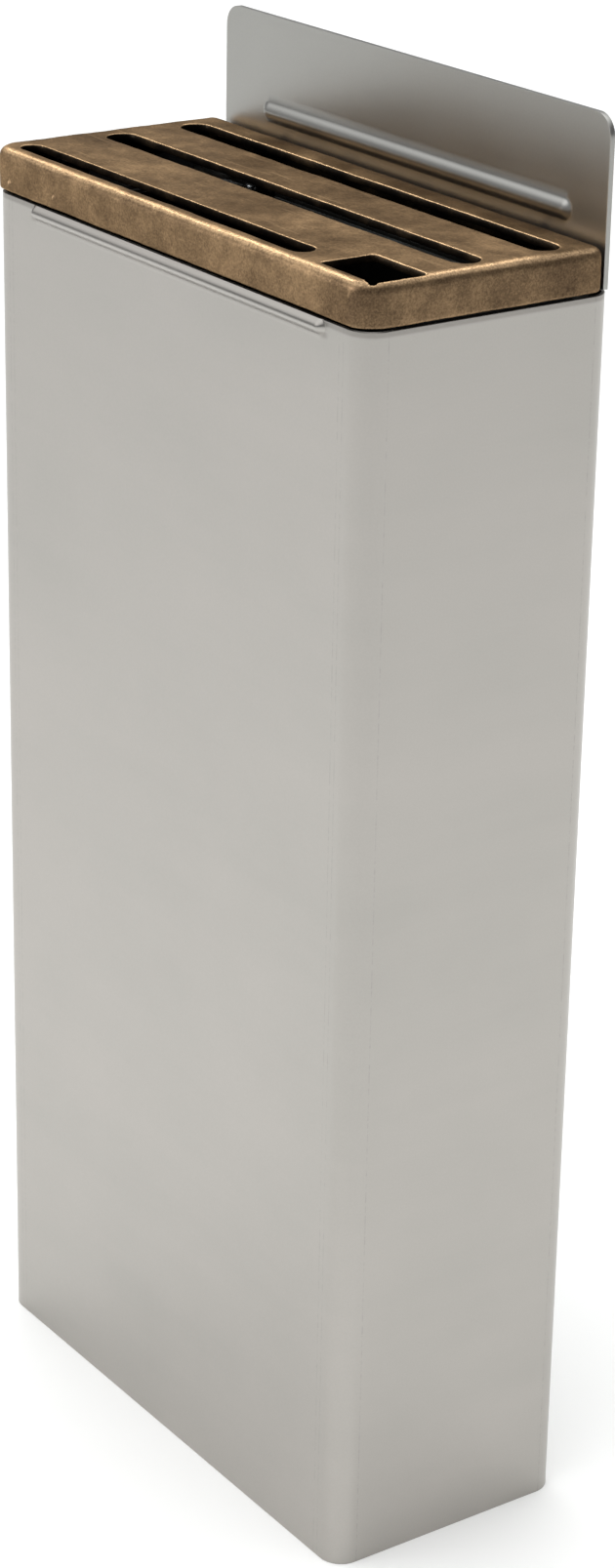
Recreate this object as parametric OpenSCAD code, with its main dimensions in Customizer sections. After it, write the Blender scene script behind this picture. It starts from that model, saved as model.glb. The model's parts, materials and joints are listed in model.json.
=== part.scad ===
// Wall ashtray bin: a folded steel housing on a wall plate, a lift-out liner,
// and a cast grille lid hinged on the liner. Front faces -Y, +Z is up,
// the origin is the middle of the housing's underside. Millimetres.

/* [Housing] */
// Width of the housing over its side walls
body_w = 300; // [260:1:360]
// Depth of the housing, front wall to rear flange
body_d = 132; // [122:1:170]
// Height of the housing from the floor of the base to the rim
body_h = 597.2; // [400:0.1:760]
// Sheet thickness of the housing and its base
sheet_t = 1.5; // [1:0.1:2.5]
// Outer bend radius of the upright corners
corner_r = 12; // [9:0.5:14]
// Width of the two flanges that return across the back
rear_flange_w = 32; // [26:1:40]
// Height of the upturned rim of the base tray
base_rim_h = 12; // [6:1:25]
// Diameter of the drain holes in the base
drain_d = 6; // [4:0.5:10]

/* [Pressed beads] */
// Length of both stiffening beads
bead_len = 236; // [180:1:240]
// Sideways offset of both beads from the middle
bead_shift = 4.5; // [-10:0.5:10]
// Radius of the bead under the front rim
front_bead_r = 3.1; // [2:0.1:4]
// Drop from the rim to the middle of the front bead
front_bead_drop = 3.4; // [3.2:0.1:20]
// Section radius of the bead on the upstand
plate_bead_r = 4.2; // [3.5:0.1:6]
// How far the upstand's bead stands forward
plate_bead_out = 2.4; // [1.5:0.1:3]
// Height of the upstand's bead above the lid
plate_bead_rise = 8.8; // [7:0.1:16]

/* [Back plate] */
// Thickness of the back plate
plate_t = 2.5; // [2:0.1:4]
// Height of the upstand above the housing rim
upstand_h = 75.8; // [50:0.1:120]
// How far the upstand's edges stand in from the housing's sides
upstand_inset = 4; // [2:0.5:12]
// Radius of the upstand's top corners
upstand_r = 10; // [4:0.5:20]
// Diameter of the wall fixing holes
fixing_d = 9; // [6:0.5:12]
// Distance between the wall fixings across the plate
fixing_w = 200; // [140:1:210]
// Distance between the wall fixings up the plate
fixing_h = 420; // [200:1:520]
// Thickness of the spacers behind the plate
spacer_t = 2.5; // [2:0.1:6]

/* [Lid] */
// Height of the lid over its skirt
lid_h = 19.9; // [18:0.1:26]
// Gap between the housing rim and the lid's skirt
lid_gap = 1.4; // [1.3:0.1:3]
// Overhang of the lid at the front and sides
lid_over = 1; // [0:0.1:4]
// Thickness of the lid's skirt
skirt_t = 3.5; // [2.5:0.1:5]
// Thickness of the lid's top
lid_t = 4; // [3:0.1:5]
// Radius of the rounded top edge
lid_edge_r = 5; // [3:0.1:6]
// Plan radius of the lid's front corners
lid_front_r = 12; // [8:0.5:20]
// Plan radius of the lid's rear corners
lid_rear_r = 6; // [6:0.5:10]

/* [Butt slots] */
// Width of the front slot
slot_front_w = 11.5; // [9:0.5:13]
// Width of the middle and rear slots
slot_w = 14.5; // [9:0.5:16]
// Left end of the three slots, measured in from the housing's left side
slot_left = 11; // [9:0.5:30]
// Right end of the two long slots, measured in from the housing's right side
slot_right = 6.5; // [6:0.5:30]
// Gap between the front slot's right end and the stub window
slot_window_gap = 17.5; // [6:0.5:40]
// Middle of the front slot behind the lid's front edge
slot_front_y = 13; // [11:0.5:16]
// Middle of the middle slot behind the lid's front edge
slot_mid_y = 61; // [50:0.5:70]
// Middle of the rear slot behind the lid's front edge
slot_rear_y = 102.5; // [90:0.5:103]
// Length of the stub window
window_l = 37; // [20:0.5:45]
// Width of the stub window
window_w = 27.5; // [14:0.5:32]
// Front edge of the stub window behind the lid's front edge
window_y = 6; // [5.5:0.5:10]

/* [Hinge] */
// Hinge centre below the lid's top
hinge_drop = 5; // [4.8:0.1:6]
// Hinge centre in front of the back plate
hinge_fwd = 9.5; // [9:0.1:12]
// Distance of each hinge eye from the middle
hinge_x = 100; // [60:1:120]
// Outer radius of the hinge eye
eye_r = 3; // [2.8:0.1:3.2]
// Radius of the lid's knuckles
knuckle_r = 4; // [3.5:0.1:4.2]
// Length of each knuckle
knuckle_l = 10; // [6:0.5:16]
// Diameter of the hinge pins
pin_d = 3.2; // [2.5:0.1:3.6]
// Radius of the pins' heads and clips
pin_head_r = 2.5; // [2.2:0.1:2.8]
// Thickness of the hinge bracket
bracket_t = 2.5; // [2:0.1:3]
// Length of the bracket's riveted foot
bracket_l = 18; // [16:0.5:30]

/* [Liner] */
// Sheet thickness of the liner
liner_t = 0.8; // [0.6:0.1:1.2]
// Gap between the liner's sides and the housing's side walls
liner_side_gap = 10.5; // [10:0.5:16]
// Gap between the liner's front and the housing's front wall
liner_front_gap = 3; // [2.5:0.5:10]
// Gap between the liner's back and the back plate
liner_rear_gap = 10; // [8:0.5:20]
// Height of the pads that the liner stands on
pad_h = 10.2; // [4:0.1:20]
// Diameter of the pads
pad_d = 22; // [12:1:40]
// Outer bend radius of the liner's upright corners
liner_r = 10; // [6:0.5:16]
// Depth of the liner's bottom pan
pan_h = 10; // [6:1:20]
// Drop from the housing rim to the underside of the liner's flange
flange_drop = 9.2; // [8.5:0.1:12]
// Diameter of the carrying bar
bar_d = 8; // [6:0.5:12]
// Drop from the liner's flange to the middle of the carrying bar
bar_drop = 14; // [8:0.5:60]
// Diameter of the lid's rubber buffers
buffer_d = 7; // [5:0.5:7]

/* [Lock] */
// Diameter of the lock barrel
barrel_d = 15; // [12:0.5:16]
// Diameter of the lock's front face
lock_face_d = 20; // [18:0.5:24]
// Across-corners size of the barrel nut
nut_d = 23; // [20:0.5:25]
// Diameter of the lock spindle
spindle_d = 6; // [5:0.5:7]
// Lock centre below the housing rim
lock_drop = 32.2; // [31:0.1:60]
// Lock centre behind the housing's front
lock_back = 46; // [40:0.5:50]
// Length of the cam from its centre
cam_l = 20; // [16:0.5:20]
// Width of the cam
cam_w = 9; // [7:0.5:10]
// Width of the lid's hook
hook_w = 8; // [6:0.5:9]
// Thickness of the cam and the hook
cam_t = 2; // [1.5:0.1:2.2]

/* [Fasteners] */
// Shank diameter of the rivets through the rear flanges
rivet_d = 4; // [3:0.1:5]
// Shank diameter of the hinge bracket's rivets
small_rivet_d = 3.2; // [2.4:0.1:3.6]
// Thread diameter of the hook's screws and the bar's screws
screw_d = 4; // [3:0.5:5]

/* [Clearances] */
// Running clearance on the radius of a turning shaft
run_gap = 0.05; // [0.02:0.01:0.1]
// Gap between seated pieces of one assembly
seat_gap = 0.05; // [0.02:0.01:0.2]
// Gap between pieces that part when they move
part_gap = 0.3; // [0.2:0.05:0.6]

/* [Hidden] */
$fn = 48;
eps = 0.5;               // how far a cutter runs past the face it opens
far = 2000;              // larger than any size of the object

steel_colour = "#b2b1ac";
plate_colour = "#8f9192";
zinc_colour = "#a4a8aa";
bronze_colour = "#7d674c";
rubber_colour = "#2b2b2b";

// Housing faces
side_x = body_w / 2;
front_y = -body_d / 2;
rear_y = body_d / 2;
inner_x = side_x - sheet_t;
inner_front_y = front_y + sheet_t;
inner_rear_y = rear_y - sheet_t;
inner_r = corner_r - sheet_t;

// Back plate faces
plate_rear_y = inner_rear_y - seat_gap;
plate_y = plate_rear_y - plate_t;
plate_top_z = body_h + upstand_h;
plate_low_x = side_x - corner_r - sheet_t;
upstand_x = side_x - upstand_inset;

// Lid faces
lid_z0 = body_h + lid_gap;
lid_z1 = lid_z0 + lid_h;
lid_under_z = lid_z1 - lid_t;
lid_x = side_x + lid_over;
lid_front_y = front_y - lid_over;
lid_rear_y = plate_y - plate_bead_out - part_gap;   // clears the upstand's bead when lifted
lid_inner_x = lid_x - skirt_t;

// Pressed beads
front_bead_z = body_h - front_bead_drop;
plate_bead_z = lid_z1 + plate_bead_rise;
plate_bead_y = plate_y - plate_bead_out + plate_bead_r;

// Slots and window
window_x1 = lid_inner_x;
window_x0 = window_x1 - window_l;
slot_x0 = -side_x + slot_left;
slot_x1 = side_x - slot_right;
slot_front_x1 = window_x0 - slot_window_gap;

// Hinge
hinge_y = plate_y - hinge_fwd;
hinge_z = lid_z1 - hinge_drop;
skirt_swing_r = hinge_z - lid_z0 + lid_gap - part_gap;

// Liner faces
liner_x = inner_x - liner_side_gap;
liner_y0 = inner_front_y + liner_front_gap;
liner_y1 = plate_y - liner_rear_gap;
liner_z0 = sheet_t + pad_h + part_gap;
flange_z = body_h - flange_drop;
flange_top_z = flange_z + liner_t;
flange_x = inner_x - 2.5;
flange_y0 = inner_front_y + 1;
flange_y1 = lid_rear_y - 0.1;
flange_r = inner_r - 1;
bar_y = lid_front_y + (slot_mid_y + slot_rear_y) / 2;
bar_z = flange_z - bar_drop;

// Lid buffers, under the lid's rest posts
buffer_x = liner_x + 4;
buffer_y = lid_front_y + (window_y + window_w + slot_mid_y - slot_w / 2) / 2 + 1.5;
post_z = lid_z0;

// Lock
lock_y = front_y + lock_back;
lock_z = body_h - lock_drop;
lock_face_x = -side_x - lid_over;
nut_t = 2.5;
barrel_end_x = -inner_x + nut_t + 0.8;
key_recess_d = 13;
key_recess_x = -inner_x + 1;
key_size = 9;
cam_x = barrel_end_x + part_gap;
cam_screw_head_t = 1.5;
cam_screw_d = 3;

// Hook, caught by the cam's nose when the cam is turned forward
hook_x = cam_x + cam_t + 0.7;
hook_y = lock_y - cam_l + hook_w / 2 - 1;
hook_foot_z = lock_z - cam_w / 2 - 0.6;
hook_foot_x = -inner_x + 1.9;
hook_tab_l = 18;
rim_cut_y = hook_y + hook_w / 2 + 3;

// Rivets
rivet_x = plate_low_x - 9.5;
rivet_rows = [for (i = [0:3]) body_h * (0.1 + 0.27 * i)];
head_t = 1.5;

// A rectangle from (x0, y0) to (x1, y1) with true round corners:
// rf at the front pair, rr at the rear pair.
module round_plan(x0, x1, y0, y1, rf, rr) {
    for (x = [x0 + rf, x1 - rf]) translate([x, y0 + rf]) circle(rf);
    for (x = [x0 + rr, x1 - rr]) translate([x, y1 - rr]) circle(rr);
    translate([x0, y0 + rf]) square([x1 - x0, y1 - rr - y0 - rf]);
    translate([x0 + rf, y0]) square([x1 - x0 - 2 * rf, rf]);
    translate([x0 + rr, y1 - rr]) square([x1 - x0 - 2 * rr, rr]);
}

// A cylinder along X that starts at x.
module x_rod(x, y, z, r, l) {
    translate([x, y, z]) rotate([0, 90, 0]) cylinder(r = r, h = l);
}

// A cylinder along Y that starts at y.
module y_rod(x, y, z, r, l) {
    translate([x, y, z]) rotate([-90, 0, 0]) cylinder(r = r, h = l);
}

// A cylinder along Z that starts at z.
module z_rod(x, y, z, r, l) {
    translate([x, y, z]) cylinder(r = r, h = l);
}

// A rod with round ends along X, centred on the beads' middle.
module bead(y, z, r) {
    half = bead_len / 2 - plate_bead_r;
    translate([bead_shift, y, z]) rotate([0, 90, 0]) rotate_extrude() intersection() {
        union() {
            for (s = [-1, 1]) translate([0, s * half]) circle(r);
            translate([-r, -half]) square([2 * r, 2 * half]);
        }
        translate([0, -far / 2]) square(far);
    }
}

// One of the four wall fixings' places.
module at_fixings() {
    for (x = [-1, 1], z = [-1, 1])
        translate([x * fixing_w / 2, 0, body_h / 2 + z * fixing_h / 2]) children();
}

// Every place of a rivet through the rear flanges.
module at_shell_rivets() {
    for (s = [-1, 1], z = rivet_rows) translate([s * rivet_x, 0, z]) children();
}

// Folded housing: front, sides and two rear flanges, with the bead under its rim.
module body_shell() {
    color(steel_colour) difference() {
        union() {
            linear_extrude(body_h) difference() {
                round_plan(-side_x, side_x, front_y, rear_y, corner_r, corner_r);
                round_plan(-inner_x, inner_x, inner_front_y, inner_rear_y, inner_r, inner_r);
                translate([-side_x + rear_flange_w, inner_rear_y - eps])
                    square([body_w - 2 * rear_flange_w, sheet_t + 2 * eps]);
            }
            difference() {
                bead(front_y, front_bead_z, front_bead_r);
                translate([-far / 2, inner_front_y, 0]) cube(far);
            }
        }
        bead(front_y, front_bead_z, front_bead_r - sheet_t);
        at_shell_rivets() y_rod(0, inner_rear_y - eps, 0, rivet_d / 2 + seat_gap, far);
        x_rod(-side_x - eps, lock_y, lock_z, barrel_d / 2 + seat_gap, sheet_t + 2 * eps);
    }
}

// Back plate: narrow inside the housing, wide above it, with the bead and the wall fixings.
module back_plate() {
    color(plate_colour) difference() {
        union() {
            translate([0, plate_rear_y, 0]) rotate([90, 0, 0]) linear_extrude(plate_t) {
                translate([-plate_low_x, 2 * sheet_t]) square([2 * plate_low_x, body_h]);
                round_plan(-upstand_x, upstand_x, body_h + 0.8, plate_top_z, 2, upstand_r);
            }
            difference() {
                bead(plate_bead_y, plate_bead_z, plate_bead_r);
                translate([-far / 2, plate_rear_y, 0]) cube(far);
            }
        }
        bead(plate_bead_y, plate_bead_z, plate_bead_r - plate_t);
        at_fixings() y_rod(0, plate_y - eps, 0, fixing_d / 2, plate_t + 2 * eps);
        at_shell_rivets() y_rod(0, plate_y - eps, 0, rivet_d / 2 + seat_gap, far);
    }
}

// Base: a shallow tray set into the bottom of the housing, with drain holes.
module base_tray() {
    g = seat_gap;
    t = sheet_t;
    r = inner_r - g;
    color(steel_colour) difference() {
        linear_extrude(base_rim_h) difference() {
            round_plan(-inner_x + g, inner_x - g, inner_front_y + g, inner_rear_y - g, r, r);
            translate([-far / 2, plate_y - g]) square(far);
        }
        translate([0, 0, t]) linear_extrude(base_rim_h) difference() {
            round_plan(-inner_x + g + t, inner_x - g - t, inner_front_y + g + t,
                inner_rear_y - g - t, r - t, r - t);
            translate([-far / 2, plate_y - g - t]) square(far);
        }
        for (x = [-1, 1], y = [-1, 1])
            z_rod(x * fixing_w / 2, y * body_d / 4, -eps, drain_d / 2, t + 2 * eps);
    }
}

// Rivets that hold the back plate to the rear flanges, heads inside.
module shell_rivets() {
    color(zinc_colour) at_shell_rivets() {
        y_rod(0, plate_y - seat_gap - head_t, 0, rivet_d, head_t);
        y_rod(0, plate_y - seat_gap, 0, rivet_d / 2, rear_y + seat_gap - plate_y + 0.5);
        y_rod(0, rear_y + seat_gap, 0, rivet_d * 0.75, 0.8);
    }
}

// Rings behind the back plate that hold it off the wall.
module wall_spacers() {
    color(rubber_colour) at_fixings() difference() {
        y_rod(0, plate_rear_y + seat_gap, 0, fixing_d, spacer_t);
        y_rod(0, plate_rear_y - eps, 0, fixing_d / 2, spacer_t + 2 * eps);
    }
}

// Rubber pads on the base that the liner stands on.
module base_pads() {
    color(rubber_colour) for (x = [-1, 1], y = [-1, 1])
        z_rod(x * body_w / 4, y * body_d / 4, sheet_t + seat_gap, pad_d / 2, pad_h - seat_gap);
}

// Lock barrel in the left side wall, with a round key recess in its face.
module lock_barrel() {
    color(zinc_colour) difference() {
        union() {
            x_rod(lock_face_x, lock_y, lock_z, lock_face_d / 2, lid_over - seat_gap);
            x_rod(lock_face_x, lock_y, lock_z, barrel_d / 2, barrel_end_x - lock_face_x);
        }
        x_rod(lock_face_x - eps, lock_y, lock_z, key_recess_d / 2, key_recess_x - lock_face_x + eps);
        x_rod(lock_face_x, lock_y, lock_z, spindle_d / 2 + run_gap, far);
    }
}

// Flat nut that clamps the barrel inside the wall.
module lock_nut() {
    color(zinc_colour) difference() {
        translate([-inner_x + seat_gap, lock_y, lock_z]) rotate([0, 90, 0])
            cylinder(d = nut_d, h = nut_t, $fn = 6);
        x_rod(-inner_x - eps, lock_y, lock_z, barrel_d / 2 + seat_gap, nut_t + 2 * eps);
    }
}

// Spindle with a three-sided key end, turned by the caretaker's key.
module lock_spindle() {
    key_x = lock_face_x + 0.6;
    color(zinc_colour) difference() {
        union() {
            translate([key_x, lock_y, lock_z]) rotate([0, 90, 0])
                cylinder(d = key_size, h = key_recess_x - run_gap - key_x, $fn = 3);
            x_rod(key_x, lock_y, lock_z, spindle_d / 2, cam_x + cam_t - key_x);
        }
        x_rod(cam_x + cam_t - 5, lock_y, lock_z, cam_screw_d / 2 + seat_gap, 5 + eps);
    }
}

// Cam on the spindle: up is open, turned forward it holds the lid's hook down.
module lock_cam() {
    color(zinc_colour) translate([cam_x, lock_y, lock_z]) rotate([90, 0, 90])
        linear_extrude(cam_t) difference() {
            union() {
                circle(spindle_d / 2 + 3);
                translate([0, cam_l - cam_w / 2]) circle(cam_w / 2);
                translate([-cam_w / 2, 0]) square([cam_w, cam_l - cam_w / 2]);
            }
            circle(spindle_d / 2 + seat_gap);
        }
}

// Screw and its head that keep the cam on the spindle.
module cam_screw() {
    color(zinc_colour) {
        x_rod(cam_x + cam_t + seat_gap, lock_y, lock_z, spindle_d / 2 + 0.5, cam_screw_head_t);
        x_rod(cam_x + cam_t - 4.5, lock_y, lock_z, cam_screw_d / 2, 4.5 + seat_gap);
    }
}

// Lift-out liner: four walls folded from one sheet.
module liner_shell() {
    t = liner_t;
    color(zinc_colour) difference() {
        translate([0, 0, liner_z0]) linear_extrude(flange_top_z - liner_z0) difference() {
            round_plan(-liner_x, liner_x, liner_y0, liner_y1, liner_r, liner_r);
            round_plan(-liner_x + t, liner_x - t, liner_y0 + t, liner_y1 - t, liner_r - t, liner_r - t);
        }
        x_rod(-far / 2, bar_y, bar_z, screw_d / 2 + seat_gap, far);
    }
}

// Flat rim welded around the liner's mouth, cut away where the lid's hook passes.
module liner_rim() {
    g = seat_gap;
    color(zinc_colour) difference() {
        translate([0, 0, flange_z]) linear_extrude(liner_t) difference() {
            round_plan(-flange_x, flange_x, flange_y0, flange_y1, flange_r, flange_r);
            round_plan(-liner_x - g, liner_x + g, liner_y0 - g, liner_y1 + g, liner_r + g, liner_r + g);
            translate([-side_x, front_y]) square([side_x - liner_x, rim_cut_y - front_y]);
        }
        for (s = [-1, 1]) z_rod(s * buffer_x, buffer_y, flange_z - eps, 2 + g, liner_t + 2 * eps);
        at_hinge_rivets() z_rod(0, 0, flange_z - eps, small_rivet_d / 2 + g, liner_t + 2 * eps);
    }
}

// Bottom of the liner: a pan pushed up between its walls.
module liner_pan() {
    t = liner_t;
    o = liner_t + seat_gap;
    r = liner_r - o;
    color(zinc_colour) difference() {
        translate([0, 0, liner_z0]) linear_extrude(pan_h)
            round_plan(-liner_x + o, liner_x - o, liner_y0 + o, liner_y1 - o, r, r);
        translate([0, 0, liner_z0 + t]) linear_extrude(pan_h)
            round_plan(-liner_x + o + t, liner_x - o - t, liner_y0 + o + t, liner_y1 - o - t, r - t, r - t);
    }
}

// Bar across the liner's mouth, to lift and tip it by.
module carry_bar() {
    l = 2 * (liner_x - liner_t - seat_gap);
    color(zinc_colour) difference() {
        x_rod(-l / 2, bar_y, bar_z, bar_d / 2, l);
        for (x = [-l / 2 - eps, l / 2 - 10])
            x_rod(x, bar_y, bar_z, screw_d / 2 + seat_gap, 10 + eps);
    }
}

// Low-head screws through the liner's sides into the carrying bar.
module bar_screws() {
    color(zinc_colour) for (s = [0, 1]) mirror([s, 0, 0]) {
        x_rod(liner_x + seat_gap, bar_y, bar_z, screw_d, 1.8);
        x_rod(liner_x - 9, bar_y, bar_z, screw_d / 2, 9 + seat_gap);
    }
}

// Every place of a rivet through a bracket's foot.
module at_hinge_rivets() {
    for (s = [-1, 1], x = [5, 12.5])
        translate([s * (hinge_x + bracket_t / 2 + x), (liner_y1 + flange_y1) / 2, 0]) children();
}

// Right hinge bracket: a riveted foot and an upright ear with the hinge eye.
module hinge_bracket() {
    foot_z = flange_top_z + seat_gap;
    foot_y = liner_y1 - 1;
    color(zinc_colour) difference() {
        union() {
            translate([hinge_x - bracket_t / 2, hinge_y, hinge_z]) rotate([90, 0, 90])
                linear_extrude(bracket_t) {
                    circle(eye_r);
                    translate([-eye_r, foot_z - hinge_z]) square([eye_r + 2.2, hinge_z - foot_z]);
                }
            translate([hinge_x - bracket_t / 2, foot_y, foot_z])
                cube([bracket_l, flange_y1 - foot_y, bracket_t]);
        }
        x_rod(0, hinge_y, hinge_z, pin_d / 2 + run_gap, far);
        at_hinge_rivets() z_rod(0, 0, foot_z - eps, small_rivet_d / 2 + seat_gap, bracket_t + 2 * eps);
    }
}
module hinge_bracket_right() hinge_bracket();
module hinge_bracket_left() mirror([1, 0, 0]) hinge_bracket();

// Rivets through both brackets' feet and the liner's flange.
module hinge_rivets() {
    top_z = flange_top_z + bracket_t + 2 * seat_gap;
    color(zinc_colour) at_hinge_rivets() {
        z_rod(0, 0, top_z, small_rivet_d * 0.85, 1);
        z_rod(0, 0, flange_z - 0.5, small_rivet_d / 2, top_z - flange_z + 0.5);
        z_rod(0, 0, flange_z - seat_gap - 1, small_rivet_d * 0.75, 1);
    }
}

// Rubber buttons on the liner's flange that the lid comes down on.
module lid_buffers() {
    color(rubber_colour) for (s = [-1, 1]) {
        z_rod(s * buffer_x, buffer_y, flange_top_z + seat_gap, buffer_d / 2,
            post_z - part_gap - flange_top_z - seat_gap);
        z_rod(s * buffer_x, buffer_y, flange_z - 1.5, 2, 3);
    }
}

// Outline of the lid's section: square below, its outer top edge rounded.
module edge_profile(w) {
    square([w, lid_h - lid_edge_r]);
    square([w - lid_edge_r, lid_h]);
    translate([w - lid_edge_r, lid_h - lid_edge_r]) circle(lid_edge_r);
}

// The lid's solid outside: four turned corners joined by straight edges.
module lid_blank() {
    rf = lid_front_r;
    rr = lid_rear_r;
    for (s = [0, 1]) mirror([s, 0, 0]) {
        translate([lid_x - rf, lid_front_y + rf, lid_z0]) rotate_extrude(angle = 360)
            intersection() { edge_profile(rf); square([rf, lid_h]); }
        translate([lid_x - rr, lid_rear_y - rr, lid_z0]) rotate_extrude(angle = 360)
            intersection() { edge_profile(rr); square([rr, lid_h]); }
        translate([lid_x - rr, lid_rear_y - rr, lid_z0]) rotate([90, 0, 0])
            linear_extrude(lid_rear_y - rr - lid_front_y - rf) intersection() {
                edge_profile(rr);
                square([rr, lid_h]);
            }
    }
    translate([-lid_x + rf, lid_front_y + rf, lid_z0]) rotate([90, 0, 90]) mirror([1, 0, 0])
        linear_extrude(2 * (lid_x - rf)) intersection() { edge_profile(rf); square([rf, lid_h]); }
    translate([-lid_x + rr, lid_rear_y - rr, lid_z0]) rotate([90, 0, 90])
        linear_extrude(2 * (lid_x - rr)) intersection() { edge_profile(rr); square([rr, lid_h]); }
    translate([-lid_x + rf, lid_front_y + rf, lid_z0])
        cube([2 * (lid_x - rf), lid_rear_y - rr - lid_front_y - rf, lid_h]);
    translate([-lid_x + rr, lid_front_y + rf, lid_z0])
        cube([2 * (lid_x - rr), lid_rear_y - rr - lid_front_y - rf, lid_h]);
}

// A slot with round ends through the lid's top.
module slot(x0, x1, y, w) {
    translate([0, 0, lid_z0]) linear_extrude(lid_h + eps) {
        translate([x0 + w / 2, y - w / 2]) square([x1 - x0 - w, w]);
        for (x = [x0 + w / 2, x1 - w / 2]) translate([x, y]) circle(w / 2);
    }
}

// Cast grille lid with its hinge knuckles and rest posts.
module lid_casting() {
    ear = bracket_t + 2 * part_gap;
    color(bronze_colour) difference() {
        union() {
            difference() {
                lid_blank();
                translate([0, 0, lid_z0 - eps]) linear_extrude(lid_under_z - lid_z0 + eps)
                    round_plan(-lid_inner_x, lid_inner_x, lid_front_y + skirt_t,
                        lid_rear_y - skirt_t, lid_front_r - skirt_t, lid_rear_r - skirt_t);
            }
            for (s = [-1, 1]) {
                x_rod(s * hinge_x - ear / 2 - knuckle_l, hinge_y, hinge_z, knuckle_r,
                    ear + 2 * knuckle_l);
                z_rod(s * buffer_x, buffer_y, post_z, buffer_d / 2, lid_under_z - post_z + 1);
            }
        }
        slot(slot_x0, slot_front_x1, lid_front_y + slot_front_y, slot_front_w);
        slot(slot_x0, slot_x1, lid_front_y + slot_mid_y, slot_w);
        slot(slot_x0, slot_x1, lid_front_y + slot_rear_y, slot_w);
        translate([window_x0, lid_front_y + window_y, lid_z0])
            cube([window_l, window_w, lid_h + eps]);
        for (s = [-1, 1]) {
            x_rod(s * hinge_x - ear / 2, hinge_y, hinge_z, knuckle_r + part_gap, ear);
            translate([s * hinge_x - ear / 2, hinge_y - knuckle_r, lid_z0])
                cube([ear, far, hinge_z + eye_r + 0.4 - lid_z0]);
            x_rod(s * hinge_x - 2 * knuckle_l, hinge_y, hinge_z, pin_d / 2 + seat_gap / 2,
                4 * knuckle_l);
            for (e = [-1, 1])
                x_rod(s * hinge_x + e * (ear / 2 + knuckle_l + 2) - 2, hinge_y, hinge_z,
                    pin_head_r + part_gap, 4);
        }
        swing_cut();
        at_hook_screws() z_rod(0, 0, lid_under_z - eps, screw_d / 2 + seat_gap, 2.7 + eps);
    }
}

// What the skirt's rear foot loses so that it swings clear of the housing rim.
module swing_cut() {
    difference() {
        translate([-far / 2, hinge_y, lid_z0 - eps]) cube([far, far, hinge_drop]);
        x_rod(-far / 2, hinge_y, hinge_z, skirt_swing_r, far);
    }
}

// Headed hinge pin, held in the lid's knuckles and running in the bracket's eye.
module hinge_pin() {
    l = 2 * knuckle_l + bracket_t + 2 * part_gap;
    x0 = hinge_x - l / 2;
    color(zinc_colour) difference() {
        union() {
            x_rod(x0 - 2.5, hinge_y, hinge_z, pin_d / 2, l + 2.5);
            x_rod(x0 + l + seat_gap, hinge_y, hinge_z, pin_head_r, 1.2);
            x_rod(x0 + l - eps, hinge_y, hinge_z, pin_d / 2, eps + 2 * seat_gap);
        }
        difference() {
            x_rod(x0 - 1.2, hinge_y, hinge_z, pin_head_r, 0.9);
            x_rod(x0 - 2, hinge_y, hinge_z, pin_d / 2 - 0.5, 3);
        }
    }
}
module hinge_pin_right() hinge_pin();
module hinge_pin_left() mirror([1, 0, 0]) hinge_pin();

// Open spring clips in the pins' grooves.
module pin_clips() {
    x0 = hinge_x - knuckle_l - bracket_t / 2 - part_gap - 1.2;
    color(zinc_colour) for (s = [0, 1]) mirror([s, 0, 0]) difference() {
        x_rod(x0 + seat_gap, hinge_y, hinge_z, pin_head_r, 0.8);
        x_rod(x0 - eps, hinge_y, hinge_z, pin_d / 2 - 0.5 + seat_gap, 0.9 + 2 * eps);
        translate([x0 - eps, hinge_y - 0.9, hinge_z - far]) cube([2, 1.8, far]);
    }
}

// Every place of a screw through the hook's tab.
module at_hook_screws() {
    for (x = [6, 13]) translate([hook_x + x, hook_y, 0]) children();
}

// Hook under the lid: a tab, a strap down beside the liner and a foot for the cam.
module lock_hook() {
    top_z = lid_under_z - seat_gap;
    color(zinc_colour) difference() {
        translate([0, hook_y - hook_w / 2, 0]) {
            translate([hook_x, 0, top_z - cam_t]) cube([hook_tab_l, hook_w, cam_t]);
            translate([hook_x, 0, hook_foot_z - cam_t]) cube([cam_t, hook_w, top_z - hook_foot_z + cam_t]);
            translate([hook_foot_x, 0, hook_foot_z - cam_t])
                cube([hook_x - hook_foot_x + cam_t, hook_w, cam_t]);
        }
        at_hook_screws() z_rod(0, 0, top_z - cam_t - eps, screw_d / 2 + seat_gap, cam_t + 2 * eps);
    }
}

// Screws up through the tab into the lid.
module hook_screws() {
    z1 = lid_under_z - seat_gap - cam_t - seat_gap;
    color(zinc_colour) at_hook_screws() {
        z_rod(0, 0, z1 - 2, screw_d * 0.8, 2);
        z_rod(0, 0, z1 - eps, screw_d / 2, cam_t + 2.5 + eps);
    }
}

body_shell();
back_plate();
base_tray();
shell_rivets();
wall_spacers();
base_pads();
lock_barrel();
lock_nut();
lock_spindle();
lock_cam();
cam_screw();
liner_shell();
liner_rim();
liner_pan();
carry_bar();
bar_screws();
hinge_bracket_left();
hinge_bracket_right();
hinge_rivets();
lid_buffers();
lid_casting();
hinge_pin_left();
hinge_pin_right();
pin_clips();
lock_hook();
hook_screws();
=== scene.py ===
# %% [markdown]
# # A wall ashtray bin
#
# The bin is a folded steel housing on a wall plate. A cast lid with three butt slots
# and a stub window covers a liner that lifts out. The solid model already fixes every
# size and joint. Here it gets what a solid model lacks: soft bends in the sheet, a
# sand-cast skin on the lid, turned screws and rivets, and real metal finishes.

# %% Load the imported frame
import json
import math

import bmesh
import bpy
import numpy as np
from mathutils import Matrix, Vector


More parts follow.
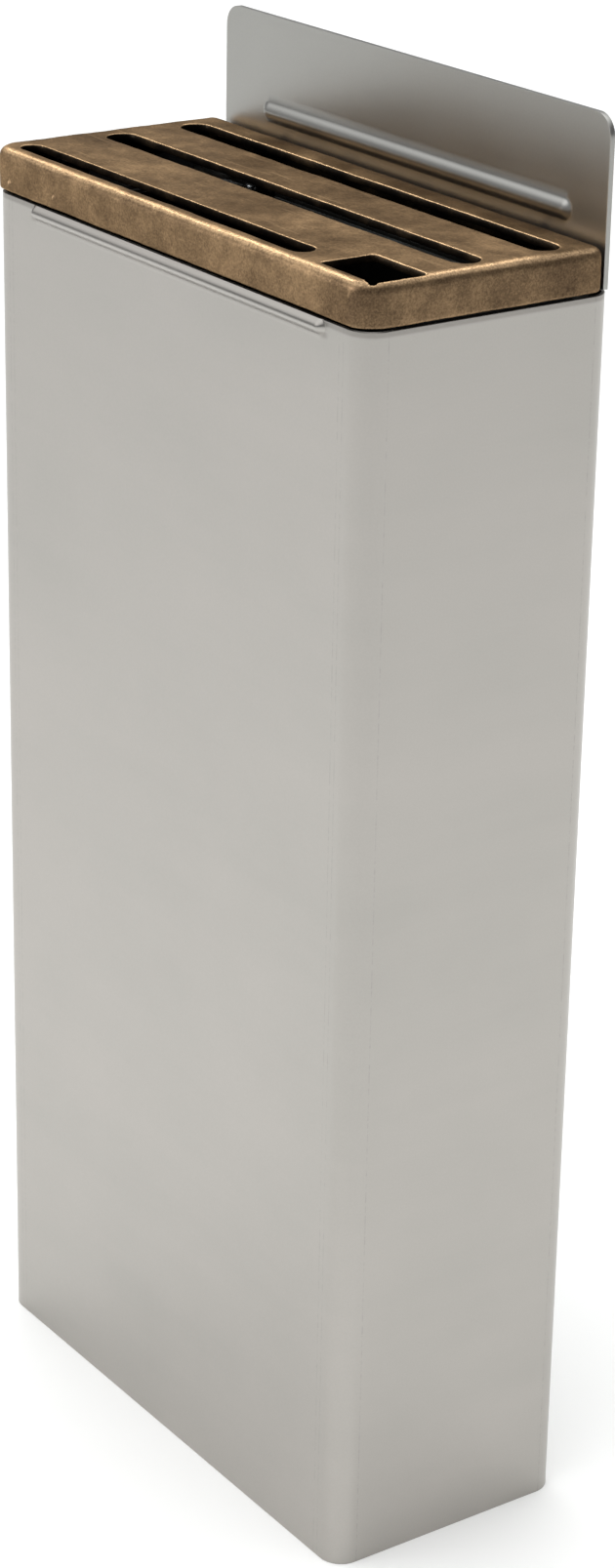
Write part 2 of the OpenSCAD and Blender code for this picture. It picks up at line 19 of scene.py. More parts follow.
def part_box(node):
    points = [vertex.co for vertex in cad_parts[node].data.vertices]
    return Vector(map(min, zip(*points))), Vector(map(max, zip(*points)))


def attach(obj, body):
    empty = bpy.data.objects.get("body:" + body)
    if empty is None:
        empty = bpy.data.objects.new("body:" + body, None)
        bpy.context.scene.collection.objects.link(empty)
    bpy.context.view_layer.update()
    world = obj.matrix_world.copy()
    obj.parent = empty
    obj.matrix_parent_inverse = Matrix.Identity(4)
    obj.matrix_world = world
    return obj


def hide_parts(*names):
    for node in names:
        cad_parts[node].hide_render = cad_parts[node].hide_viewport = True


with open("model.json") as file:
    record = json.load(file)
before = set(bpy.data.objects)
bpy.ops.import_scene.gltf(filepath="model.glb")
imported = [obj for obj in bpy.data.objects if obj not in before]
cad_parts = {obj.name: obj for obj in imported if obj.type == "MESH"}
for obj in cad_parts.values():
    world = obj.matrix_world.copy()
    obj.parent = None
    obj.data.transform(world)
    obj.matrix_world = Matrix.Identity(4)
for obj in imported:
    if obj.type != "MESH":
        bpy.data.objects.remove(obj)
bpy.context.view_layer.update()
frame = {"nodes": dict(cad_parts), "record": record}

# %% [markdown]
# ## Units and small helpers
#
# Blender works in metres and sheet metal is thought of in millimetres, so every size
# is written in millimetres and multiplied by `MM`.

MM = 0.001


def linear(hex_colour):
    """An sRGB hex colour as the linear colour that Blender's nodes expect."""
    channels = [int(hex_colour[i:i + 2], 16) / 255 for i in (1, 3, 5)]
    curve = [c / 12.92 if c <= 0.04045 else ((c + 0.055) / 1.055) ** 2.4 for c in channels]
    return (*curve, 1.0)


def add(tree, kind, inputs=None, **settings):
    """Adds one node, sets its options, then fills its inputs with values or links."""
    made = tree.nodes.new(kind)
    for name, value in settings.items():
        setattr(made, name, value)
    for name, value in (inputs or {}).items():
        if isinstance(value, bpy.types.NodeSocket):
            tree.links.new(value, made.inputs[name])
        else:
            made.inputs[name].default_value = value
    return made


# %% [markdown]
# ## The camera
#
# The view is from the right front corner, a little above the lid, with a long lens.
# The lens, the angles and the distance are set together so that the bin fills a tall
# narrow frame. The camera leans by about one degree.

# %% Camera
CAMERA_AZIMUTH, CAMERA_ELEVATION, CAMERA_ROLL = (math.radians(a) for a in (54.94, 22.47, 1.10))
CAMERA_DISTANCE = 1737.5 * MM
AIM_RIGHT, AIM_UP = 12.56 * MM, 332.76 * MM
SENSOR, LENS = 36, 83.8775

right = Vector((math.cos(CAMERA_AZIMUTH), math.sin(CAMERA_AZIMUTH), 0))
back = Vector((math.sin(CAMERA_AZIMUTH) * math.cos(CAMERA_ELEVATION),
               -math.cos(CAMERA_AZIMUTH) * math.cos(CAMERA_ELEVATION),
               math.sin(CAMERA_ELEVATION)))
up = back.cross(right)
camera_x = right * math.cos(CAMERA_ROLL) + up * math.sin(CAMERA_ROLL)
camera_y = up * math.cos(CAMERA_ROLL) - right * math.sin(CAMERA_ROLL)
camera_data = bpy.data.cameras.new("camera")
camera_data.sensor_width = SENSOR
camera_data.lens = LENS
camera_data.clip_start, camera_data.clip_end = 0.05, 100
camera = bpy.data.objects.new("camera", camera_data)
bpy.context.collection.objects.link(camera)
camera.matrix_world = Matrix.Translation(
    Vector((0, 0, AIM_UP)) + right * AIM_RIGHT + back * CAMERA_DISTANCE
) @ Matrix((camera_x, camera_y, back)).transposed().to_4x4()
bpy.context.scene.camera = camera
print("camera at", [round(c, 3) for c in camera.location], "lens", round(camera_data.lens, 2))

# %% [markdown]
# ## Sizes taken from the solid model
#
# Each node's box says where the sheet, the lid and the plate are. Only the sizes
# that a box can't tell, such as bend radii and bead sections, are written out.

# %% Sizes
shell_low, shell_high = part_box("body_shell")
plate_low, plate_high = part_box("back_plate")
lid_low, lid_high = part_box("lid_casting")

SIDE_X = shell_high.x
REAR_Y = shell_high.y
FRONT_Y = -REAR_Y
RIM_Z = shell_high.z
SHEET = 1.5 * MM
CORNER_R = 12 * MM
REAR_FLANGE = 32 * MM

BEAD_HALF = 118 * MM
BEAD_SHIFT = 4.5 * MM
FRONT_BEAD_HEIGHT = 3.1 * MM
FRONT_BEAD_Z = RIM_Z - 3.4 * MM
PLATE_THICK = 2.5 * MM
PLATE_REAR_Y = plate_high.y
PLATE_FRONT_Y = PLATE_REAR_Y - PLATE_THICK
PLATE_BEAD_HEIGHT = PLATE_FRONT_Y - plate_low.y
PLATE_BEAD_Z = lid_high.z + 8.8 * MM
UPSTAND_X = plate_high.x
UPSTAND_R = 10 * MM
print("housing", round(2 * SIDE_X / MM, 1), "wide;", "plate bead stands out",
      round(PLATE_BEAD_HEIGHT / MM, 2), "mm")

# %% [markdown]
# ## Satin stainless steel
#
# The housing is austenitic stainless sheet with a rolled, lightly brushed finish.
# It is a bare metal, so it is fully metallic and its colour is the warm grey that
# nickel and chromium give. Rolling leaves faint cloudy bands across the sheet and a
# hair-fine grain that runs the same way. The grain is really about 0.1 mm, too fine
# to show, so it is drawn at about 0.7 mm. Thin, slightly darker lines are drawn
# beside the bends. Such lines are drawn here, and that they are wear is a guess.

# %% Steel finish
def new_material(name, preview_hex):
    """An empty node material with its output, its surface shader and its coordinates."""
    material = bpy.data.materials.new(name)
    material.use_nodes = True
    tree = material.node_tree
    tree.nodes.clear()
    material.diffuse_color = linear(preview_hex)
    shader = add(tree, "ShaderNodeBsdfPrincipled")
    output = add(tree, "ShaderNodeOutputMaterial", {"Surface": shader.outputs["BSDF"]})
    output.location, shader.location = (400, 0), (100, 0)
    where = add(tree, "ShaderNodeTexCoord").outputs["Object"]
    return material, tree, shader, where


def steel_finish(name, light_hex, dark_hex, roughness_low, roughness_high, grain_bump):
    """Satin sheet: cloudy bands, a fine rolled grain, and a little unevenness in gloss."""
    material, tree, shader, where = new_material(name, light_hex)
    bands = add(tree, "ShaderNodeTexNoise", {
        "Vector": add(tree, "ShaderNodeMapping", {
            "Vector": where, "Scale": (3.0, 3.0, 22.0)}).outputs["Vector"],
        "Scale": 1.0, "Detail": 4.0, "Roughness": 0.55})
    clouds = add(tree, "ShaderNodeTexNoise", {
        "Vector": where, "Scale": 11.0, "Detail": 3.0})
    grain = add(tree, "ShaderNodeTexNoise", {
        "Vector": add(tree, "ShaderNodeMapping", {
            "Vector": where, "Scale": (60.0, 60.0, 1400.0)}).outputs["Vector"],
        "Scale": 1.0, "Detail": 2.0})
    speckle = add(tree, "ShaderNodeTexNoise", {
        "Vector": where, "Scale": 1100.0, "Detail": 1.0})
    cloudiness = add(tree, "ShaderNodeMath", {
        0: bands.outputs["Fac"], 1: clouds.outputs["Fac"]}, operation="ADD")
    tone = add(tree, "ShaderNodeMath", {
        0: cloudiness.outputs[0],
        1: add(tree, "ShaderNodeMath", {
            0: speckle.outputs["Fac"], 1: 0.35}, operation="MULTIPLY").outputs[0],
    }, operation="ADD")
    shade = add(tree, "ShaderNodeMapRange", {
        "Value": tone.outputs[0], "From Min": 0.85, "From Max": 1.5})
    colour = add(tree, "ShaderNodeMix", {
        0: shade.outputs["Result"], 6: linear(dark_hex), 7: linear(light_hex)},
        data_type="RGBA")
    gloss = add(tree, "ShaderNodeMapRange", {
        "Value": cloudiness.outputs[0], "From Min": 0.7, "From Max": 1.3,
        "To Min": roughness_low, "To Max": roughness_high})
    bump = add(tree, "ShaderNodeBump", {
        "Height": grain.outputs["Fac"], "Strength": grain_bump, "Distance": 0.02 * MM})
    tree.links.new(colour.outputs[2], shader.inputs["Base Color"])
    tree.links.new(gloss.outputs["Result"], shader.inputs["Roughness"])
    tree.links.new(bump.outputs["Normal"], shader.inputs["Normal"])
    shader.inputs["Metallic"].default_value = 1.0
    return material, tree, shader, where, colour


HOUSING_LIGHT, HOUSING_DARK = "#B1ADA8", "#A7A49F"
satin_steel, tree, shader, where, steel_colour = steel_finish(
    "satin_stainless_sheet", HOUSING_LIGHT, HOUSING_DARK, 0.30, 0.38, 0.25)
print("made", satin_steel.name)

# %% [markdown]
# The lines beside the bends are narrow, broken and only a little darker than
# the sheet. Each is a band around a fixed distance from the middle of the housing,
# broken up by a noise that changes along the bend.

# %% Darker lines beside the bends
place = add(tree, "ShaderNodeSeparateXYZ", {"Vector": where})
across = add(tree, "ShaderNodeMath", {0: place.outputs["X"]}, operation="ABSOLUTE")
broken = add(tree, "ShaderNodeTexNoise", {
    "Vector": add(tree, "ShaderNodeMapping", {
        "Vector": where, "Scale": (40.0, 40.0, 260.0)}).outputs["Vector"],
    "Scale": 1.0, "Detail": 3.0, "Roughness": 0.7})
patchy = add(tree, "ShaderNodeMapRange", {
    "Value": broken.outputs["Fac"], "From Min": 0.42, "From Max": 0.62})
LINE_HALF_WIDTH, LINE_SHARE, GRIME_AND_SHADE_SHARE = 0.45 * MM, 0.35, 0.35
marks = None
for position, distance in ((across.outputs[0], SIDE_X - 14.5 * MM),
                           (across.outputs[0], SIDE_X - 17.5 * MM),
                           (place.outputs["Y"], FRONT_Y + 12.6 * MM),
                           (place.outputs["Y"], REAR_Y - 11.0 * MM)):
    away = add(tree, "ShaderNodeMath", {
        0: add(tree, "ShaderNodeMath", {0: position, 1: distance},
               operation="SUBTRACT").outputs[0]}, operation="ABSOLUTE")
    line = add(tree, "ShaderNodeMapRange", {
        "Value": away.outputs[0], "From Min": LINE_HALF_WIDTH, "From Max": 0.0})
    if marks is None:
        marks = line.outputs["Result"]
    else:
        marks = add(tree, "ShaderNodeMath", {0: marks, 1: line.outputs["Result"]},
                    operation="MAXIMUM").outputs[0]
bend_line_strength = add(tree, "ShaderNodeMath", {
    0: add(tree, "ShaderNodeMath", {0: marks, 1: patchy.outputs["Result"]},
           operation="MULTIPLY").outputs[0], 1: LINE_SHARE}, operation="MULTIPLY")
with_bend_lines = add(tree, "ShaderNodeMix", {
    0: bend_line_strength.outputs[0], 6: steel_colour.outputs[2], 7: linear("#7E7C7A")}, data_type="RGBA")

# %% [markdown]
# A faint dark tone lies in the shelter of the lid: a line just under it all
# round, and bands above and below the pressed bead, whose crest stays clean. It is
# partly grime and partly painted shade: the lid's shadow above the bead, and the dark
# reflection in the bead's lower flank below it. It is kept faint, because the shadow
# there comes from the lid itself.

# %% Grime and painted shade under the lid and round the bead
up_from_bead = add(tree, "ShaderNodeMath", {
    0: place.outputs["Z"], 1: FRONT_BEAD_Z}, operation="SUBTRACT").outputs[0]
above_bead = add(tree, "ShaderNodeMapRange", {
    "Value": up_from_bead, "From Min": 0.3 * MM, "From Max": 2.6 * MM},
    interpolation_type="SMOOTHSTEP").outputs["Result"]
below_bead = add(tree, "ShaderNodeMath", {
    0: add(tree, "ShaderNodeMapRange", {
        "Value": up_from_bead, "From Min": -1.2 * MM, "From Max": -2.2 * MM},
        interpolation_type="SMOOTHSTEP").outputs["Result"],
    1: add(tree, "ShaderNodeMapRange", {
        "Value": up_from_bead, "From Min": -5.2 * MM, "From Max": -3.2 * MM},
        interpolation_type="SMOOTHSTEP").outputs["Result"]}, operation="MULTIPLY").outputs[0]
on_front = add(tree, "ShaderNodeMapRange", {
    "Value": place.outputs["Y"], "From Min": FRONT_Y + 2 * MM, "From Max": FRONT_Y},
    interpolation_type="SMOOTHSTEP").outputs["Result"]
from_middle = add(tree, "ShaderNodeMath", {
    0: add(tree, "ShaderNodeMath", {0: place.outputs["X"], 1: BEAD_SHIFT},
           operation="SUBTRACT").outputs[0]}, operation="ABSOLUTE").outputs[0]
along_bead = add(tree, "ShaderNodeMapRange", {
    "Value": from_middle, "From Min": BEAD_HALF + 3 * MM, "From Max": BEAD_HALF - 1 * MM},
    interpolation_type="SMOOTHSTEP").outputs["Result"]
near_bead = add(tree, "ShaderNodeMath", {0: on_front, 1: along_bead}, operation="MULTIPLY")
bead_dirt_and_shade = add(tree, "ShaderNodeMath", {
    0: near_bead.outputs[0],
    1: add(tree, "ShaderNodeMath", {0: above_bead, 1: below_bead},
           operation="MAXIMUM").outputs[0]}, operation="MULTIPLY")
rim_dirt_and_shade = add(tree, "ShaderNodeMapRange", {
    "Value": up_from_bead, "From Min": 0.2 * MM, "From Max": 1.6 * MM},
    interpolation_type="SMOOTHSTEP").outputs["Result"]
dirt_and_painted_shade = add(tree, "ShaderNodeMath", {
    0: add(tree, "ShaderNodeMath", {0: bead_dirt_and_shade.outputs[0], 1: rim_dirt_and_shade},
           operation="MAXIMUM").outputs[0], 1: GRIME_AND_SHADE_SHARE}, operation="MULTIPLY")
# Colour #57504A is partly grime and partly painted shade and reflection.
dirt_and_shade_colour = add(tree, "ShaderNodeMix", {
    0: dirt_and_painted_shade.outputs[0], 6: with_bend_lines.outputs[2], 7: linear("#57504A")}, data_type="RGBA")
tree.links.new(dirt_and_shade_colour.outputs[2], shader.inputs["Base Color"])

# %% [markdown]
# ## Steel wall plate
#
# The plate is the same steel with the same gloss, 2.5 mm thick and slightly darker in
# colour. What it mirrors of the lid is left to the shader.

# %% Wall plate finish
plate_steel, tree, shader, where, steel_colour = steel_finish(
    "satin_stainless_plate", "#A8A7A3", "#9C9B97", 0.30, 0.38, 0.3)
print("made", plate_steel.name)

# %% [markdown]
# ## Bronze lacquer on a sand casting
#
# The lid is cast in sand, so its skin has a pebbled grain of 0.5 to 1 mm. A bronze
# metallic lacquer covers it. The flakes in the lacquer are metal but lie every way in
# a clear binder, so it is mostly metallic with a broad soft highlight. The lighter tan
# on the rounded top edges is partly lacquer rubbed by hands, which is a guess, and
# partly a painted highlight. The walls of the slots and the underside are painted near
# black: partly smoke, which is a guess, and partly painted shade that keeps the slots dark.

# %% Bronze finish
LID_CORNER_R = 12 * MM
bronze, tree, shader, where = new_material("bronze_lacquer_on_sand_casting", "#7D674C")
grit = add(tree, "ShaderNodeTexNoise", {
    "Vector": where, "Scale": 1050.0, "Detail": 3.0, "Roughness": 0.6})
pebble = add(tree, "ShaderNodeTexVoronoi", {"Vector": where, "Scale": 700.0})
blotch = add(tree, "ShaderNodeTexNoise", {
    "Vector": where, "Scale": 38.0, "Detail": 6.0, "Roughness": 0.62})
tint = add(tree, "ShaderNodeMath", {
    0: add(tree, "ShaderNodeMath", {0: grit.outputs["Fac"], 1: 0.75},
           operation="MULTIPLY").outputs[0],
    1: blotch.outputs["Fac"]}, operation="ADD")
lacquer = add(tree, "ShaderNodeValToRGB", {
    "Fac": add(tree, "ShaderNodeMapRange", {
        "Value": tint.outputs[0], "From Min": 0.62, "From Max": 1.12}).outputs["Result"]})
lacquer.color_ramp.elements[0].color = linear("#4C3C2D")
lacquer.color_ramp.elements[1].color = linear("#8E7558")
middle = lacquer.color_ramp.elements.new(0.5)
middle.color = linear("#6C5842")
curve_of_surface = add(tree, "ShaderNodeNewGeometry").outputs["Pointiness"]
edge = add(tree, "ShaderNodeMapRange", {
    "Value": curve_of_surface, "From Min": 0.515, "From Max": 0.57})
facing = add(tree, "ShaderNodeSeparateXYZ", {
    "Vector": add(tree, "ShaderNodeTexCoord").outputs["Normal"]})
rounded = add(tree, "ShaderNodeMath", {
    0: add(tree, "ShaderNodeMapRange", {
        "Value": facing.outputs["Z"], "From Min": 0.45, "From Max": 0.7},
        interpolation_type="SMOOTHSTEP").outputs["Result"],
    1: add(tree, "ShaderNodeMapRange", {
        "Value": facing.outputs["Z"], "From Min": 0.97, "From Max": 0.88},
        interpolation_type="SMOOTHSTEP").outputs["Result"]}, operation="MULTIPLY")
# The tan on the rounded top edges is partly rubbed lacquer and partly a painted highlight.
rubbed_and_highlit = add(tree, "ShaderNodeMath", {
    0: add(tree, "ShaderNodeMath", {0: edge.outputs["Result"], 1: rounded.outputs[0]},
           operation="MAXIMUM").outputs[0],
    1: add(tree, "ShaderNodeMapRange", {
        "Value": grit.outputs["Fac"], "From Min": 0.3, "From Max": 0.6,
        "To Min": 0.08, "To Max": 0.4}).outputs["Result"]}, operation="MULTIPLY")
highlit_worn_lacquer = add(tree, "ShaderNodeMix", {
    0: rubbed_and_highlit.outputs[0], 6: lacquer.outputs["Color"], 7: linear("#DDBB92")},
    data_type="RGBA")
scratches = add(tree, "ShaderNodeTexNoise", {
    "Vector": add(tree, "ShaderNodeMapping", {
        "Vector": where, "Rotation": (0, 0, math.radians(20)),
        "Scale": (28.0, 420.0, 20.0)}).outputs["Vector"],
    "Scale": 1.0, "Detail": 2.0})
scratch = add(tree, "ShaderNodeMapRange", {
    "Value": scratches.outputs["Fac"], "From Min": 0.66, "From Max": 0.74, "To Max": 0.35})
on_top = add(tree, "ShaderNodeMath", {
    0: scratch.outputs["Result"], 1: add(tree, "ShaderNodeMapRange", {
        "Value": facing.outputs["Z"], "From Min": 0.9, "From Max": 0.98},
        interpolation_type="SMOOTHSTEP").outputs["Result"]},
    operation="MULTIPLY")
finished = add(tree, "ShaderNodeMix", {
    0: on_top.outputs[0], 6: highlit_worn_lacquer.outputs[2], 7: linear("#B89A76")},
    data_type="RGBA")
gloss = add(tree, "ShaderNodeMapRange", {
    "Value": blotch.outputs["Fac"], "From Min": 0.3, "From Max": 0.7,
    "To Min": 0.34, "To Max": 0.46})
worn_gloss = add(tree, "ShaderNodeMix", {
    0: rubbed_and_highlit.outputs[0], 2: gloss.outputs["Result"], 3: 0.28})
skin = add(tree, "ShaderNodeMath", {
    0: grit.outputs["Fac"], 1: pebble.outputs["Distance"]}, operation="SUBTRACT")
bump = add(tree, "ShaderNodeBump", {
    "Height": skin.outputs[0], "Strength": 0.45, "Distance": 0.12 * MM})
place = add(tree, "ShaderNodeSeparateXYZ", {"Vector": where})
lid_middle_y = (lid_low.y + lid_high.y) / 2
past_arc = []
for axis, middle, half in (("X", 0.0, lid_high.x), ("Y", lid_middle_y, lid_high.y - lid_middle_y)):
    offset = add(tree, "ShaderNodeMath", {0: place.outputs[axis], 1: middle},
                 operation="SUBTRACT")
    size = add(tree, "ShaderNodeMath", {0: offset.outputs[0]}, operation="ABSOLUTE")
    past = add(tree, "ShaderNodeMath", {0: size.outputs[0], 1: half - LID_CORNER_R},
               operation="SUBTRACT")
    past_arc.append(add(tree, "ShaderNodeMath", {0: past.outputs[0], 1: 0.0},
                        operation="MAXIMUM").outputs[0])
from_arc = add(tree, "ShaderNodeVectorMath", {
    0: add(tree, "ShaderNodeCombineXYZ", {"X": past_arc[0], "Y": past_arc[1]}).outputs[0]},
    operation="LENGTH").outputs["Value"]
well_inside = add(tree, "ShaderNodeMapRange", {
    "Value": from_arc, "From Min": LID_CORNER_R - 1.2 * MM,
    "From Max": LID_CORNER_R - 2.0 * MM},
    interpolation_type="SMOOTHSTEP").outputs["Result"]
not_up = add(tree, "ShaderNodeMapRange", {
    "Value": facing.outputs["Z"], "From Min": 0.85, "From Max": 0.45},
    interpolation_type="SMOOTHSTEP").outputs["Result"]
# Near black on slot walls and underside: partly soot, partly painted shade that keeps the slots
# dark.
slot_soot_and_shade = add(tree, "ShaderNodeMath", {
    0: add(tree, "ShaderNodeMath", {0: well_inside, 1: not_up},
           operation="MULTIPLY").outputs[0],
    1: add(tree, "ShaderNodeMapRange", {
        "Value": blotch.outputs["Fac"], "From Min": 0.75, "From Max": 0.4,
        "To Min": 0.82, "To Max": 0.99},
        interpolation_type="SMOOTHSTEP").outputs["Result"]}, operation="MULTIPLY")
soot_and_shade_colour = add(tree, "ShaderNodeMix", {
    0: slot_soot_and_shade.outputs[0], 6: finished.outputs[2], 7: linear("#0B0A09")},
    data_type="RGBA")
tree.links.new(soot_and_shade_colour.outputs[2], shader.inputs["Base Color"])
tree.links.new(worn_gloss.outputs[0], shader.inputs["Roughness"])
tree.links.new(bump.outputs["Normal"], shader.inputs["Normal"])
shader.inputs["Metallic"].default_value = 0.7
shader.inputs["Specular IOR Level"].default_value = 0.2
shader.inputs["Specular Tint"].default_value = linear("#D0BBA2")
print("made", bronze.name)

# %% [markdown]
# ## Galvanised sheet
#
# The liner is hot-dip galvanised steel. Zinc freezes on it in flat crystals, the
# spangle, 6 to 10 mm across, each a slightly different grey. Where a wall faces the
# middle of the liner, it is painted near black: partly tar, which is a guess, and
# partly painted shade for the dark inside of the bin.

# %% Galvanised finish
galvanised, tree, shader, where = new_material("galvanised_sheet", "#9FA3A4")
spangle = add(tree, "ShaderNodeTexVoronoi", {"Vector": where, "Scale": 130.0})
soot = add(tree, "ShaderNodeTexNoise", {"Vector": where, "Scale": 24.0, "Detail": 6.0})
crystal = add(tree, "ShaderNodeSeparateColor", {"Color": spangle.outputs["Color"]})
zinc = add(tree, "ShaderNodeMix", {
    0: crystal.outputs["Red"], 6: linear("#8C9092"), 7: linear("#A9ADAE")}, data_type="RGBA")
dirty = add(tree, "ShaderNodeMix", {
    0: add(tree, "ShaderNodeMapRange", {
        "Value": soot.outputs["Fac"], "From Min": 0.4, "From Max": 0.8,
        "To Max": 0.6}).outputs["Result"],
    6: zinc.outputs[2], 7: linear("#4A4640")}, data_type="RGBA")
dull = add(tree, "ShaderNodeMapRange", {
    "Value": crystal.outputs["Green"], "To Min": 0.42, "To Max": 0.6})
spangle_bump = add(tree, "ShaderNodeBump", {
    "Height": soot.outputs["Fac"], "Strength": 0.2, "Distance": 0.1 * MM})
inward = add(tree, "ShaderNodeVectorMath", {
    0: add(tree, "ShaderNodeVectorMath", {0: where, 1: (7.2, 17.0, 0.0)},
           operation="MULTIPLY").outputs[0],
    1: add(tree, "ShaderNodeTexCoord").outputs["Normal"]}, operation="DOT_PRODUCT")
inside = add(tree, "ShaderNodeMapRange", {
    "Value": inward.outputs["Value"], "From Min": 0.1, "From Max": -0.1},
    interpolation_type="SMOOTHSTEP").outputs["Result"]
# Near black inside the liner: partly tar, partly painted shade.
tar_and_shade = add(tree, "ShaderNodeMix", {
    0: inside, 6: dirty.outputs[2], 7: linear("#141210")}, data_type="RGBA")
tree.links.new(tar_and_shade.outputs[2], shader.inputs["Base Color"])
tree.links.new(dull.outputs["Result"], shader.inputs["Roughness"])
tree.links.new(spangle_bump.outputs["Normal"], shader.inputs["Normal"])
shader.inputs["Metallic"].default_value = 1.0
print("made", galvanised.name)

# %% [markdown]
# ## Bright zinc plating
#
# Screws, rivets, pins, brackets and the lock are steel with bright electroplated
# zinc: a cool light grey with a faint haze and hairline handling marks. The parts that
# hang under the slots get a near-black copy of this finish: partly smoke, which is a
# guess, and partly painted shade that keeps them dark in the slots.

# %% Zinc finish
def zinc_finish(name, light_hex, dark_hex):
    """Electroplated zinc: faint haze in colour and gloss, hairline handling marks."""
    material, tree, shader, where = new_material(name, light_hex)
    haze = add(tree, "ShaderNodeTexNoise", {
        "Vector": where, "Scale": 260.0, "Detail": 5.0})
    hairline = add(tree, "ShaderNodeTexNoise", {
        "Vector": add(tree, "ShaderNodeMapping", {
            "Vector": where, "Scale": (2500.0, 300.0, 300.0)}).outputs["Vector"],
        "Scale": 1.0, "Detail": 2.0})
    plated = add(tree, "ShaderNodeMix", {
        0: haze.outputs["Fac"], 6: linear(dark_hex), 7: linear(light_hex)},
        data_type="RGBA")
    sheen = add(tree, "ShaderNodeMapRange", {
        "Value": haze.outputs["Fac"], "From Min": 0.3, "From Max": 0.7,
        "To Min": 0.22, "To Max": 0.38})
    hair_bump = add(tree, "ShaderNodeBump", {
        "Height": hairline.outputs["Fac"], "Strength": 0.15, "Distance": 0.02 * MM})
    tree.links.new(plated.outputs[2], shader.inputs["Base Color"])
    tree.links.new(sheen.outputs["Result"], shader.inputs["Roughness"])
    tree.links.new(hair_bump.outputs["Normal"], shader.inputs["Normal"])
    shader.inputs["Metallic"].default_value = 1.0
    print("made", name)
    return material


zinc_plate = zinc_finish("zinc_plated_steel", "#C3C6C8", "#8E9295")
# A near-black copy of the zinc: partly soot, partly painted shade for parts under the slots.
zinc_soot_and_shade = zinc_finish("sooted_and_shaded_zinc_plate", "#2C2A28", "#131211")

# %% [markdown]
# ## Moulded rubber
#
# Pads, buffers and spacers are moulded EPDM rubber. It is matt and nearly black, with
# a bloom of grey dust and a fine mould texture of about half a millimetre.

# %% Rubber finish
rubber, tree, shader, where = new_material("moulded_epdm_rubber", "#2B2B2B")
dust = add(tree, "ShaderNodeTexNoise", {"Vector": where, "Scale": 90.0, "Detail": 6.0})
mould = add(tree, "ShaderNodeTexNoise", {"Vector": where, "Scale": 1900.0, "Detail": 2.0})
dusty = add(tree, "ShaderNodeMix", {
    0: add(tree, "ShaderNodeMapRange", {
        "Value": dust.outputs["Fac"], "From Min": 0.45, "From Max": 0.75,
        "To Max": 0.5}).outputs["Result"],
    6: linear("#242424"), 7: linear("#4B4A48")}, data_type="RGBA")
matt = add(tree, "ShaderNodeMapRange", {
    "Value": dust.outputs["Fac"], "To Min": 0.65, "To Max": 0.85})
mould_bump = add(tree, "ShaderNodeBump", {
    "Height": mould.outputs["Fac"], "Strength": 0.3, "Distance": 0.05 * MM})
tree.links.new(dusty.outputs[2], shader.inputs["Base Color"])
tree.links.new(matt.outputs["Result"], shader.inputs["Roughness"])
tree.links.new(mould_bump.outputs["Normal"], shader.inputs["Normal"])
shader.inputs["Specular IOR Level"].default_value = 0.4
print("made", rubber.name)

# %% [markdown]
# ## Putting a piece in its place
#
# Every piece is finished the same way: it gets its metal, says which node of the
# solid model it stands for, and rides on that node's body.

# %% Finishing a piece
BODY_OF = {node: body for body, nodes in frame["record"]["behaviour"]["bodies"].items()
           for node in nodes}
SLOT_OF = {row["node"]: row["material_slot"] for row in frame["record"]["subparts"]}
FINISH = {"brushed_steel_sheet": satin_steel, "bronze_cast": bronze,
          "galvanised_sheet": galvanised, "zinc_plated": zinc_plate, "black_rubber": rubber}


def mesh_from(bm, name):
    """A new mesh from a bmesh, which is then freed."""
    mesh = bpy.data.meshes.new(name)
    bm.to_mesh(mesh)
    bm.free()
    return mesh


def finish_piece(name, mesh, node, material=None, smooth_angle=35):
    """Links the mesh as a piece that stands for a node, and lets it ride on its body."""
    if isinstance(mesh, bmesh.types.BMesh):
        bmesh.ops.recalc_face_normals(mesh, faces=mesh.faces)
        mesh = mesh_from(mesh, name)
    mesh.materials.clear()
    mesh.materials.append(material or FINISH[SLOT_OF[node]])
    mesh.polygons.foreach_set("use_smooth", [True] * len(mesh.polygons))
    mesh.set_sharp_from_angle(angle=math.radians(smooth_angle))
    piece = bpy.data.objects.new(name, mesh)
    bpy.context.collection.objects.link(piece)
    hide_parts(node)
    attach(piece, BODY_OF[node])
    print(name, "stands for", node, "with", len(mesh.polygons), "faces")
    return piece


def applied(source_mesh, *modifiers):
    """A new mesh: the source with modifiers applied, each given as (kind, settings)."""
    holder = bpy.data.objects.new("holder", source_mesh)
    bpy.context.collection.objects.link(holder)
    for kind, settings in modifiers:
        modifier = holder.modifiers.new(kind.lower(), kind)
        for name, value in settings.items():
            setattr(modifier, name, value)
    bpy.context.view_layer.update()
    ready = holder.evaluated_get(bpy.context.evaluated_depsgraph_get())
    result = bpy.data.meshes.new_from_object(ready)
    bpy.data.objects.remove(holder)
    return result


# %% [markdown]
# ## Sheet metal from two grids
#
# A pressed sheet is two skins, outer and inner, closed around their edges. Both are
# grids of points, so a bead is a matter of moving points outwards, and its flanks
# blend softly into the flat sheet as pressed metal does. Cells may be left out to
# give the sheet any outline.

